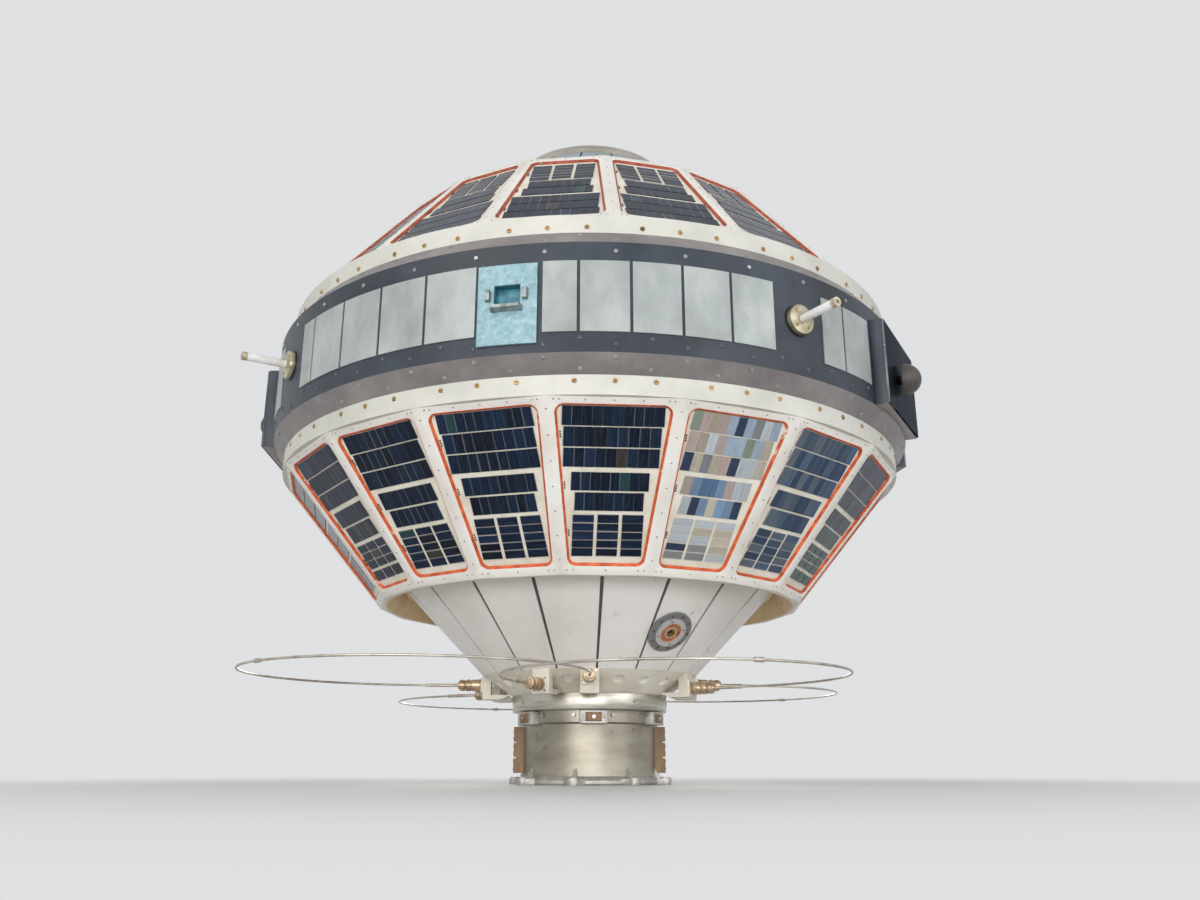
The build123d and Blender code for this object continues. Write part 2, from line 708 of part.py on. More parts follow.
with BuildPart() as upper_detector_core:
    add(eye_stack(upper_eye, CORE_STEPS))

# Solar cones.
with BuildPart() as lower_edge_ring:
    add(turned(edge_profile(DOWN)))

with BuildPart() as upper_edge_ring:
    add(turned(edge_profile(UP)))

with BuildPart() as lower_frame:
    add(facet_frame(DOWN, LOWER_TURN))

with BuildPart() as upper_frame:
    add(facet_frame(UP, UPPER_TURN))


def window_fill(side, turn, piece, picks):
    planes = facet_planes(side, turn)
    with BuildPart() as pieces:
        with Locations(*[planes[k] for k in picks]):
            add(piece)
    return pieces.part


ALL_PANELS = range(SIDES)
SPLIT_PANELS = range(SPLIT_FIRST, SIDES, SPLIT_EVERY)
PLAIN_PANELS = [k for k in ALL_PANELS if k not in SPLIT_PANELS]

with BuildPart() as lower_boards:
    board = window_block(DOWN, 0.0, WINDOW_CORNER, -POCKET_DEPTH, BOARD_THICK)
    add(window_fill(DOWN, LOWER_TURN, board, ALL_PANELS))

with BuildPart() as upper_boards:
    board = window_block(UP, 0.0, WINDOW_CORNER, -POCKET_DEPTH, BOARD_THICK)
    add(window_fill(UP, UPPER_TURN, board, ALL_PANELS))

with BuildPart() as lower_seals:
    add(window_fill(DOWN, LOWER_TURN, seal_frame(DOWN), ALL_PANELS))

with BuildPart() as upper_seals:
    add(window_fill(UP, UPPER_TURN, seal_frame(UP), ALL_PANELS))

with BuildPart() as lower_cells:
    add(window_fill(DOWN, LOWER_TURN, panel_cells(DOWN, LONG_COLUMNS), PLAIN_PANELS))
    add(window_fill(DOWN, LOWER_TURN, panel_cells(DOWN, SPLIT_COLUMNS), SPLIT_PANELS))

with BuildPart() as upper_cells:
    add(window_fill(UP, UPPER_TURN, panel_cells(UP, LONG_COLUMNS), PLAIN_PANELS))
    add(window_fill(UP, UPPER_TURN, panel_cells(UP, SPLIT_COLUMNS), SPLIT_PANELS))


# Rings between the cones and the band.
def flange_ring(side):
    near = MID + side * CHAMFER_HALF
    far = MID + side * WIDE_HALF
    inner = CHAMFER_RADIUS - FLANGE_WALL
    return turned(((inner, near), (CHAMFER_RADIUS, near), (CHAMFER_RADIUS, far), (inner, far)))


def chamfer_ring(side):
    near = MID + side * BAND_HALF
    far = MID + side * CHAMFER_HALF
    return turned((
        (BAND_RADIUS - BAND_WALL, near), (BAND_RADIUS, near),
        (CHAMFER_RADIUS, far), (CHAMFER_RADIUS - BAND_WALL, far),
    ))


with BuildPart() as lower_flange_ring:
    add(flange_ring(DOWN))

with BuildPart() as upper_flange_ring:
    add(flange_ring(UP))

with BuildPart() as lower_chamfer_ring:
    add(chamfer_ring(DOWN))

with BuildPart() as upper_chamfer_ring:
    add(chamfer_ring(UP))

# Band and its fittings.
rod_turns = [ROD_TURN + 360 / ROD_COUNT * k for k in range(ROD_COUNT)]
sensor_turn = sum(SENSOR_SPAN) / 2
sensor_plane = facing(BAND_RADIUS, sensor_turn, MID + SENSOR_WINDOW_RISE)
rod_height = MID + ROD_RISE

with BuildPart() as band_drum:
    add(turned((
        (BAND_RADIUS - BAND_WALL, MID - BAND_HALF), (BAND_RADIUS, MID - BAND_HALF),
        (BAND_RADIUS, MID + BAND_HALF), (BAND_RADIUS - BAND_WALL, MID + BAND_HALF),
    )))
    with BuildSketch(*[facing(ROD_BASE_SEAT, turn, rod_height) for turn in rod_turns]):
        Circle(ROD_BASE_RADIUS)
    extrude(amount=20, mode=Mode.SUBTRACT)
    with BuildSketch(sensor_plane.offset(-6)):
        Rectangle(*SENSOR_WINDOW)
    extrude(amount=20, mode=Mode.SUBTRACT)

with BuildPart() as band_plates:
    for first, last, count in PLATE_RUNS:
        pitch = (last - first) / count
        for k in range(count):
            add(arc_tile(
                first + pitch * k + PLATE_GAP / 2, first + pitch * (k + 1) - PLATE_GAP / 2,
                BAND_RADIUS + PLATE_CLEAR, BAND_RADIUS + PLATE_THICK,
                MID - BAND_HALF + PLATE_MARGIN, MID + BAND_HALF - PLATE_MARGIN,
            ))

with BuildPart() as sensor_plate:
    outer = BAND_RADIUS + SENSOR_THICK
    low = MID - BAND_HALF + SENSOR_LOW_MARGIN
    high = MID + BAND_HALF - SENSOR_HIGH_MARGIN
    add(arc_tile(*SENSOR_SPAN, BAND_RADIUS + PLATE_CLEAR, outer, low, high))
    with BuildSketch(sensor_plane.offset(-10)):
        Rectangle(*SENSOR_WINDOW)
    extrude(amount=30, mode=Mode.SUBTRACT)

with BuildPart() as sensor_hood:
    hood_width, hood_height, hood_depth = HOOD_SIZE
    clip_width, clip_height, clip_depth = CLIP_SIZE
    with BuildSketch(sensor_plane):
        with Locations((0, -(SENSOR_WINDOW[1] + hood_height) / 2)):
            Rectangle(hood_width, hood_height)
    extrude(amount=SENSOR_THICK + hood_depth, taper=8)
    with BuildSketch(sensor_plane):
        with GridLocations(SENSOR_WINDOW[0] + 2 * clip_width, 1, 2, 1):
            Rectangle(clip_width, clip_height)
    extrude(amount=SENSOR_THICK + clip_depth, taper=4)
    Cylinder(BAND_RADIUS + SENSOR_THICK, 4 * MID, mode=Mode.SUBTRACT)

with BuildPart() as rod_bases:
    with BuildSketch(*[facing(ROD_BASE_SEAT, turn, rod_height) for turn in rod_turns]):
        Circle(ROD_BASE_RADIUS)
    extrude(amount=BAND_RADIUS - ROD_BASE_SEAT + ROD_BASE_HEIGHT)

rod_start = BAND_RADIUS + ROD_BASE_HEIGHT
with BuildPart() as rods:
    with BuildSketch(*[facing(rod_start, turn, rod_height) for turn in rod_turns]):
        Circle(ROD_RADIUS)
    extrude(amount=ROD_LENGTH)

rod_end = rod_start + ROD_LENGTH
with BuildPart() as rod_caps:
    with BuildSketch(*[facing(rod_end, turn, rod_height) for turn in rod_turns]):
        Circle(ROD_RADIUS + 0.4)
    extrude(amount=ROD_CAP_LENGTH)
    with BuildSketch(*[facing(rod_end + ROD_CAP_LENGTH, turn, rod_height) for turn in rod_turns]):
        Circle(ROD_RADIUS / 2)
    extrude(amount=-ROD_CAP_LENGTH / 2, mode=Mode.SUBTRACT)

box_planes = [facing(BOX_FACE, turn, MID - BOX_TOP_MARGIN / 2) for turn in BOX_TURNS]
with BuildPart() as sensor_boxes:
    with BuildSketch(*box_planes):
        Rectangle(BOX_WIDTH, BOX_HEIGHT)
    extrude(amount=-BOX_DEPTH)
    Cylinder(BAND_RADIUS, 4 * MID, mode=Mode.SUBTRACT)

with BuildPart() as sensor_mirrors:
    with BuildSketch(*box_planes):
        Rectangle(BOX_WIDTH - 2, BOX_HEIGHT - 2)
    extrude(amount=MIRROR_THICK)

dome_planes = [plane.offset(MIRROR_THICK) for plane in box_planes]
with BuildPart() as sensor_domes:
    with BuildSketch(*dome_planes):
        Circle(DOME_STEM)
    extrude(amount=DOME_GAP)
    with Locations(*[plane.offset(DOME_GAP) for plane in dome_planes]):
        Sphere(DOME_RADIUS, arc_size1=0, align=(Align.CENTER, Align.CENTER, Align.MIN))

with BuildPart() as band_wedge:
    width, deep, tall = WEDGE_SIZE
    with BuildSketch(facing(BAND_RADIUS + PLATE_THICK, WEDGE_TURN, MID + 14)):
        Rectangle(width, tall)
    extrude(amount=deep, taper=12)
    with BuildSketch(facing(BAND_RADIUS + PLATE_THICK, WEDGE_TURN, MID + 14)):
        Rectangle(width, tall)
    extrude(amount=-4)
    Cylinder(BAND_RADIUS + PLATE_THICK, 4 * MID, mode=Mode.SUBTRACT)

# Upper end and the closed-in instrument column.
with BuildPart() as top_rim:
    add(turned((
        (TOP_RIM_RADIUS - TOP_RIM_WALL, TOP_RIM_BOTTOM), (TOP_RIM_RADIUS, TOP_RIM_BOTTOM),
        (TOP_RIM_RADIUS - 5, TOP_RIM_TOP), (TOP_RIM_RADIUS - TOP_RIM_WALL, TOP_RIM_TOP),
    )))

with BuildPart() as top_plate:
    with Locations((0, 0, TOP_RIM_BOTTOM)):
        Cylinder(
            TOP_RIM_RADIUS - TOP_RIM_WALL, TOP_PLATE_THICK, align=(Align.CENTER, Align.CENTER, Align.MIN),
        )

column_bottom = COLLAR_BOTTOM + BULKHEAD_THICK
with BuildPart() as instrument_column:
    with Locations((0, 0, column_bottom)):
        Cylinder(
            COLUMN_RADIUS, TOP_RIM_BOTTOM - column_bottom, align=(Align.CENTER, Align.CENTER, Align.MIN),
        )

os.makedirs("parts", exist_ok=True)
adapter_rim.part.label = "adapter_rim"
export_step(adapter_rim.part, "parts/adapter_rim.step")
adapter_tube.part.label = "adapter_tube"
export_step(adapter_tube.part, "parts/adapter_tube.step")
adapter_neck.part.label = "adapter_neck"
export_step(adapter_neck.part, "parts/adapter_neck.step")
adapter_bulkhead.part.label = "adapter_bulkhead"
export_step(adapter_bulkhead.part, "parts/adapter_bulkhead.step")
adapter_collar.part.label = "adapter_collar"
export_step(adapter_collar.part, "parts/adapter_collar.step")
latch_saddles.part.label = "latch_saddles"
export_step(latch_saddles.part, "parts/latch_saddles.step")
latch_blocks.part.label = "latch_blocks"
export_step(latch_blocks.part, "parts/latch_blocks.step")
terminal_strip_left.part.label = "terminal_strip_left"
export_step(terminal_strip_left.part, "parts/terminal_strip_left.step")
terminal_strip_right.part.label = "terminal_strip_right"
export_step(terminal_strip_right.part, "parts/terminal_strip_right.step")
inner_plug.part.label = "inner_plug"
export_step(inner_plug.part, "parts/inner_plug.step")
inner_socket.part.label = "inner_socket"
export_step(inner_socket.part, "parts/inner_socket.step")
antenna_ring.part.label = "antenna_ring"
export_step(antenna_ring.part, "parts/antenna_ring.step")
antenna_bases.part.label = "antenna_bases"
export_step(antenna_bases.part, "parts/antenna_bases.step")
antenna_feeds.part.label = "antenna_feeds"
export_step(antenna_feeds.part, "parts/antenna_feeds.step")
antenna_loop_left.part.label = "antenna_loop_left"
export_step(antenna_loop_left.part, "parts/antenna_loop_left.step")
antenna_loop_right.part.label = "antenna_loop_right"
export_step(antenna_loop_right.part, "parts/antenna_loop_right.step")
antenna_loop_front.part.label = "antenna_loop_front"
export_step(antenna_loop_front.part, "parts/antenna_loop_front.step")
antenna_loop_rear.part.label = "antenna_loop_rear"
export_step(antenna_loop_rear.part, "parts/antenna_loop_rear.step")
lower_cone_core.part.label = "lower_cone_core"
export_step(lower_cone_core.part, "parts/lower_cone_core.step")
lower_cone_skins.part.label = "lower_cone_skins"
export_step(lower_cone_skins.part, "parts/lower_cone_skins.step")
lower_detector_flange.part.label = "lower_detector_flange"
export_step(lower_detector_flange.part, "parts/lower_detector_flange.step")
lower_detector_ring.part.label = "lower_detector_ring"
export_step(lower_detector_ring.part, "parts/lower_detector_ring.step")
lower_detector_core.part.label = "lower_detector_core"
export_step(lower_detector_core.part, "parts/lower_detector_core.step")
upper_cone_core.part.label = "upper_cone_core"
export_step(upper_cone_core.part, "parts/upper_cone_core.step")
upper_cone_skins.part.label = "upper_cone_skins"
export_step(upper_cone_skins.part, "parts/upper_cone_skins.step")
upper_detector_flange.part.label = "upper_detector_flange"
export_step(upper_detector_flange.part, "parts/upper_detector_flange.step")
upper_detector_ring.part.label = "upper_detector_ring"
export_step(upper_detector_ring.part, "parts/upper_detector_ring.step")
upper_detector_core.part.label = "upper_detector_core"
export_step(upper_detector_core.part, "parts/upper_detector_core.step")
lower_edge_ring.part.label = "lower_edge_ring"
export_step(lower_edge_ring.part, "parts/lower_edge_ring.step")
upper_edge_ring.part.label = "upper_edge_ring"
export_step(upper_edge_ring.part, "parts/upper_edge_ring.step")
lower_frame.part.label = "lower_frame"
export_step(lower_frame.part, "parts/lower_frame.step")
upper_frame.part.label = "upper_frame"
export_step(upper_frame.part, "parts/upper_frame.step")
lower_boards.part.label = "lower_boards"
export_step(lower_boards.part, "parts/lower_boards.step")
upper_boards.part.label = "upper_boards"
export_step(upper_boards.part, "parts/upper_boards.step")
lower_seals.part.label = "lower_seals"
export_step(lower_seals.part, "parts/lower_seals.step")
upper_seals.part.label = "upper_seals"
export_step(upper_seals.part, "parts/upper_seals.step")
lower_cells.part.label = "lower_cells"
export_step(lower_cells.part, "parts/lower_cells.step")
upper_cells.part.label = "upper_cells"
export_step(upper_cells.part, "parts/upper_cells.step")
lower_flange_ring.part.label = "lower_flange_ring"
export_step(lower_flange_ring.part, "parts/lower_flange_ring.step")
upper_flange_ring.part.label = "upper_flange_ring"
export_step(upper_flange_ring.part, "parts/upper_flange_ring.step")
lower_chamfer_ring.part.label = "lower_chamfer_ring"
export_step(lower_chamfer_ring.part, "parts/lower_chamfer_ring.step")
upper_chamfer_ring.part.label = "upper_chamfer_ring"
export_step(upper_chamfer_ring.part, "parts/upper_chamfer_ring.step")
band_drum.part.label = "band_drum"
export_step(band_drum.part, "parts/band_drum.step")
band_plates.part.label = "band_plates"
export_step(band_plates.part, "parts/band_plates.step")
sensor_plate.part.label = "sensor_plate"
export_step(sensor_plate.part, "parts/sensor_plate.step")
sensor_hood.part.label = "sensor_hood"
export_step(sensor_hood.part, "parts/sensor_hood.step")
rod_bases.part.label = "rod_bases"
export_step(rod_bases.part, "parts/rod_bases.step")
rods.part.label = "rods"
export_step(rods.part, "parts/rods.step")
rod_caps.part.label = "rod_caps"
export_step(rod_caps.part, "parts/rod_caps.step")
sensor_boxes.part.label = "sensor_boxes"
export_step(sensor_boxes.part, "parts/sensor_boxes.step")
sensor_mirrors.part.label = "sensor_mirrors"
export_step(sensor_mirrors.part, "parts/sensor_mirrors.step")
sensor_domes.part.label = "sensor_domes"
export_step(sensor_domes.part, "parts/sensor_domes.step")
band_wedge.part.label = "band_wedge"
export_step(band_wedge.part, "parts/band_wedge.step")
top_rim.part.label = "top_rim"
export_step(top_rim.part, "parts/top_rim.step")
top_plate.part.label = "top_plate"
export_step(top_plate.part, "parts/top_plate.step")
instrument_column.part.label = "instrument_column"
export_step(instrument_column.part, "parts/instrument_column.step")
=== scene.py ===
import bpy
import bmesh
import random
from math import atan2, cos, degrees, hypot, radians, sin, tan
from mathutils import Matrix, Vector


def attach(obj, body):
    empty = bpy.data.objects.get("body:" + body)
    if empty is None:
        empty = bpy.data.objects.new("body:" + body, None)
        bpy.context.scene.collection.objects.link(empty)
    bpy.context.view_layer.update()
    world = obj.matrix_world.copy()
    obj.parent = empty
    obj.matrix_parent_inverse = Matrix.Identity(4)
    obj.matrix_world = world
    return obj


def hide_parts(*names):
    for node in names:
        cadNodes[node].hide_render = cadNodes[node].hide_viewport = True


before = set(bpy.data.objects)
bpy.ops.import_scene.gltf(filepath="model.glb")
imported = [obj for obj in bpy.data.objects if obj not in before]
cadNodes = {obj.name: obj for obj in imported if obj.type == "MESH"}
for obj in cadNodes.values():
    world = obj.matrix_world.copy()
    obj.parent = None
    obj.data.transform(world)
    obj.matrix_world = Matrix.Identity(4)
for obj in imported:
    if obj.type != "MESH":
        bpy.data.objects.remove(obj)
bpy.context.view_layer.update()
print("frame loaded")

# Body sizes that several pieces share, in metres and degrees.
body = dict(
    mid=0.4255, sides=18, lowerTurn=3.5, upperTurn=13.5, bandRadius=0.375,
    wideRadius=0.3619, wideHalf=0.090, narrowRadius=0.2454, narrowHalf=0.2305,
    edgeRadius=0.211, edgeHalf=0.2155, coneRise=1.04,
)
facetStep = 360 / body["sides"]
flatShare = cos(radians(facetStep / 2))  # middle of a facet against its corners
wideFlat, narrowFlat = body["wideRadius"] * flatShare, body["narrowRadius"] * flatShare
slopeRun = wideFlat - narrowFlat
slopeRise = body["narrowHalf"] - body["wideHalf"]
slopeLength = hypot(slopeRun, slopeRise)
facetLift = degrees(atan2(slopeRun, slopeRise))
coneLift = degrees(atan2(1.0, body["coneRise"]))
ends = {"lower": (-1, body["lowerTurn"]), "upper": (1, body["upperTurn"])}
mm = 0.001


def around(count, first=0.0):
    return [first + 360 / count * k for k in range(count)]


facets = [(side, azimuth) for side, turn in ends.values() for azimuth in around(body["sides"], turn)]


# Azimuth runs from the front, -Y, towards +X.
def spot(radius, azimuth, height):
    turn = radians(azimuth)
    return Vector((radius * sin(turn), -radius * cos(turn), height))


# A place whose z looks outwards, lifted by some degrees.
def facing(radius, azimuth, height, lift=0.0):
    turn, tip = radians(azimuth), radians(lift)
    out = Vector((sin(turn) * cos(tip), -cos(turn) * cos(tip), sin(tip)))
    side = Vector((cos(turn), sin(turn), 0))
    place = Matrix((side, out.cross(side), out)).transposed().to_4x4()
    place.translation = spot(radius, azimuth, height)
    return place


def facetPlace(side, azimuth):
    radius = (wideFlat + narrowFlat) / 2
    height = body["mid"] + side * (body["wideHalf"] + body["narrowHalf"]) / 2
    return facing(radius, azimuth, height, side * facetLift)


def conePlace(side, azimuth, radius):
    height = body["mid"] + side * (body["edgeHalf"] + (body["edgeRadius"] - radius) * body["coneRise"])
    return facing(radius, azimuth, height, side * coneLift)


def shift(x, y, z):
    return Matrix.Translation((x, y, z))


def spinAbout(angle):
    return Matrix.Rotation(radians(angle), 4, "Z")


# Colours are given as they look on screen.
def tone(red, green, blue):
    def linear(value):
        return value / 12.92 if value <= 0.04045 else ((value + 0.055) / 1.055) ** 2.4
    return (linear(red), linear(green), linear(blue), 1.0)


def startMaterial(name):
    material = bpy.data.materials.new(name)
    material.use_nodes = True
    return material, material.node_tree, material.node_tree.nodes["Principled BSDF"]


def placeVector(tree, stretch=(1, 1, 1)):
    source = tree.nodes.new("ShaderNodeTexCoord")
    mapping = tree.nodes.new("ShaderNodeMapping")
    mapping.inputs["Scale"].default_value = stretch
    tree.links.new(source.outputs["Object"], mapping.inputs["Vector"])
    return mapping.outputs["Vector"]


def noiseFactor(tree, vector, scale, detail, roughness):
    node = tree.nodes.new("ShaderNodeTexNoise")
    node.inputs["Scale"].default_value = scale
    node.inputs["Detail"].default_value = detail
    node.inputs["Roughness"].default_value = roughness
    tree.links.new(vector, node.inputs["Vector"])
    return node.outputs["Fac"]


def rampColour(tree, factor, stops, blend="LINEAR"):
    node = tree.nodes.new("ShaderNodeValToRGB")
    node.color_ramp.interpolation = blend
    elements = node.color_ramp.elements
    while len(elements) < len(stops):
        elements.new(0.5)
    for element, (position, colour) in zip(elements, stops):
        element.position = position
        element.color = colour
    tree.links.new(factor, node.inputs["Fac"])
    return node.outputs["Color"]


def shades(stops):
    return [(position, tone(*colour)) for position, colour in stops]


# Black to white between two places, or to a lower share.
def maskColour(tree, factor, start, end, share=1.0):
    return rampColour(tree, factor, ((start, (0.0, 0.0, 0.0, 1.0)), (end, (share, share, share, 1.0))))


# A value or another node's output into one socket.
def plug(tree, value, socket):
    if isinstance(value, (tuple, float)):
        socket.default_value = value
    else:
        tree.links.new(value, socket)


def blendColour(tree, factor, first, second):
    node = tree.nodes.new("ShaderNodeMix")
    node.data_type = "RGBA"
    for value, socket in ((factor, 0), (first, 6), (second, 7)):
        plug(tree, value, node.inputs[socket])
    return node.outputs[2]


def reckon(tree, kind, first, second):
    node = tree.nodes.new("ShaderNodeMath")
    node.operation = kind
    plug(tree, first, node.inputs[0])
    plug(tree, second, node.inputs[1])
    return node.outputs[0]


def faceValue(tree, name):
    node = tree.nodes.new("ShaderNodeAttribute")
    node.attribute_name = name
    return node.outputs["Fac"]


def spread(tree, factor, low, high):
    node = tree.nodes.new("ShaderNodeMapRange")
    node.inputs["To Min"].default_value = low
    node.inputs["To Max"].default_value = high
    tree.links.new(factor, node.inputs["Value"])
    return node.outputs["Result"]


def distanceFrom(tree, centre):
    source = tree.nodes.new("ShaderNodeTexCoord")
    node = tree.nodes.new("ShaderNodeVectorMath")
    node.operation = "DISTANCE"
    node.inputs[1].default_value = centre
    tree.links.new(source.outputs["Object"], node.inputs[0])
    return node.outputs["Value"]


# Colour, metal, a roughness that follows the cloud, and bump from the grain.
def dressShader(tree, shader, look, colour, cloud, grain):
    tree.links.new(colour, shader.inputs["Base Color"])
    tree.links.new(spread(tree, cloud, *look["rough"]), shader.inputs["Roughness"])
    shader.inputs["Metallic"].default_value = look["metal"]
    node = tree.nodes.new("ShaderNodeBump")
    node.inputs["Strength"].default_value = look["bump"]
    node.inputs["Distance"].default_value = look["bumpDepth"]
    tree.links.new(grain, node.inputs["Height"])
    tree.links.new(node.outputs["Normal"], shader.inputs["Normal"])


# What the aged finishes share. A noise has its detail and roughness.
plainLook = dict(
    stretch=(1, 1, 1), stainEdge=0.07, metal=0.0, bump=0.1, bumpDepth=0.0006,
    cloudNoise=(6.0, 0.6), stainNoise=(8.0, 0.68), grainNoise=(4.0, 0.6), toneStops=(0.3, 0.5, 0.7),
)


# One aged finish: three tones in soft clouds, flecks of a stain, grain as bump.
def agedFinish(name, ownLook):
    look = {**plainLook, **ownLook}
    material, tree, shader = startMaterial(name)
    place = placeVector(tree, look["stretch"])
    cloud = noiseFactor(tree, place, look["scale"], *look["cloudNoise"])
    colour = rampColour(tree, cloud, shades(zip(look["toneStops"], look["tones"])))
    if "stain" in look:
        fleck = noiseFactor(tree, placeVector(tree), look["stainScale"], *look["stainNoise"])
        mask = maskColour(tree, fleck, look["stainFrom"], look["stainFrom"] + look["stainEdge"])
        colour = blendColour(tree, mask, colour, tone(*look["stain"]))
    if "under" in look:  # another paint on the faces that look down
        colour = blendColour(tree, faceValue(tree, "underside"), colour, tone(*look["under"]))
    grain = noiseFactor(tree, place, look["grain"], *look["grainNoise"])
    dressShader(tree, shader, look, colour, cloud, grain)
    return material


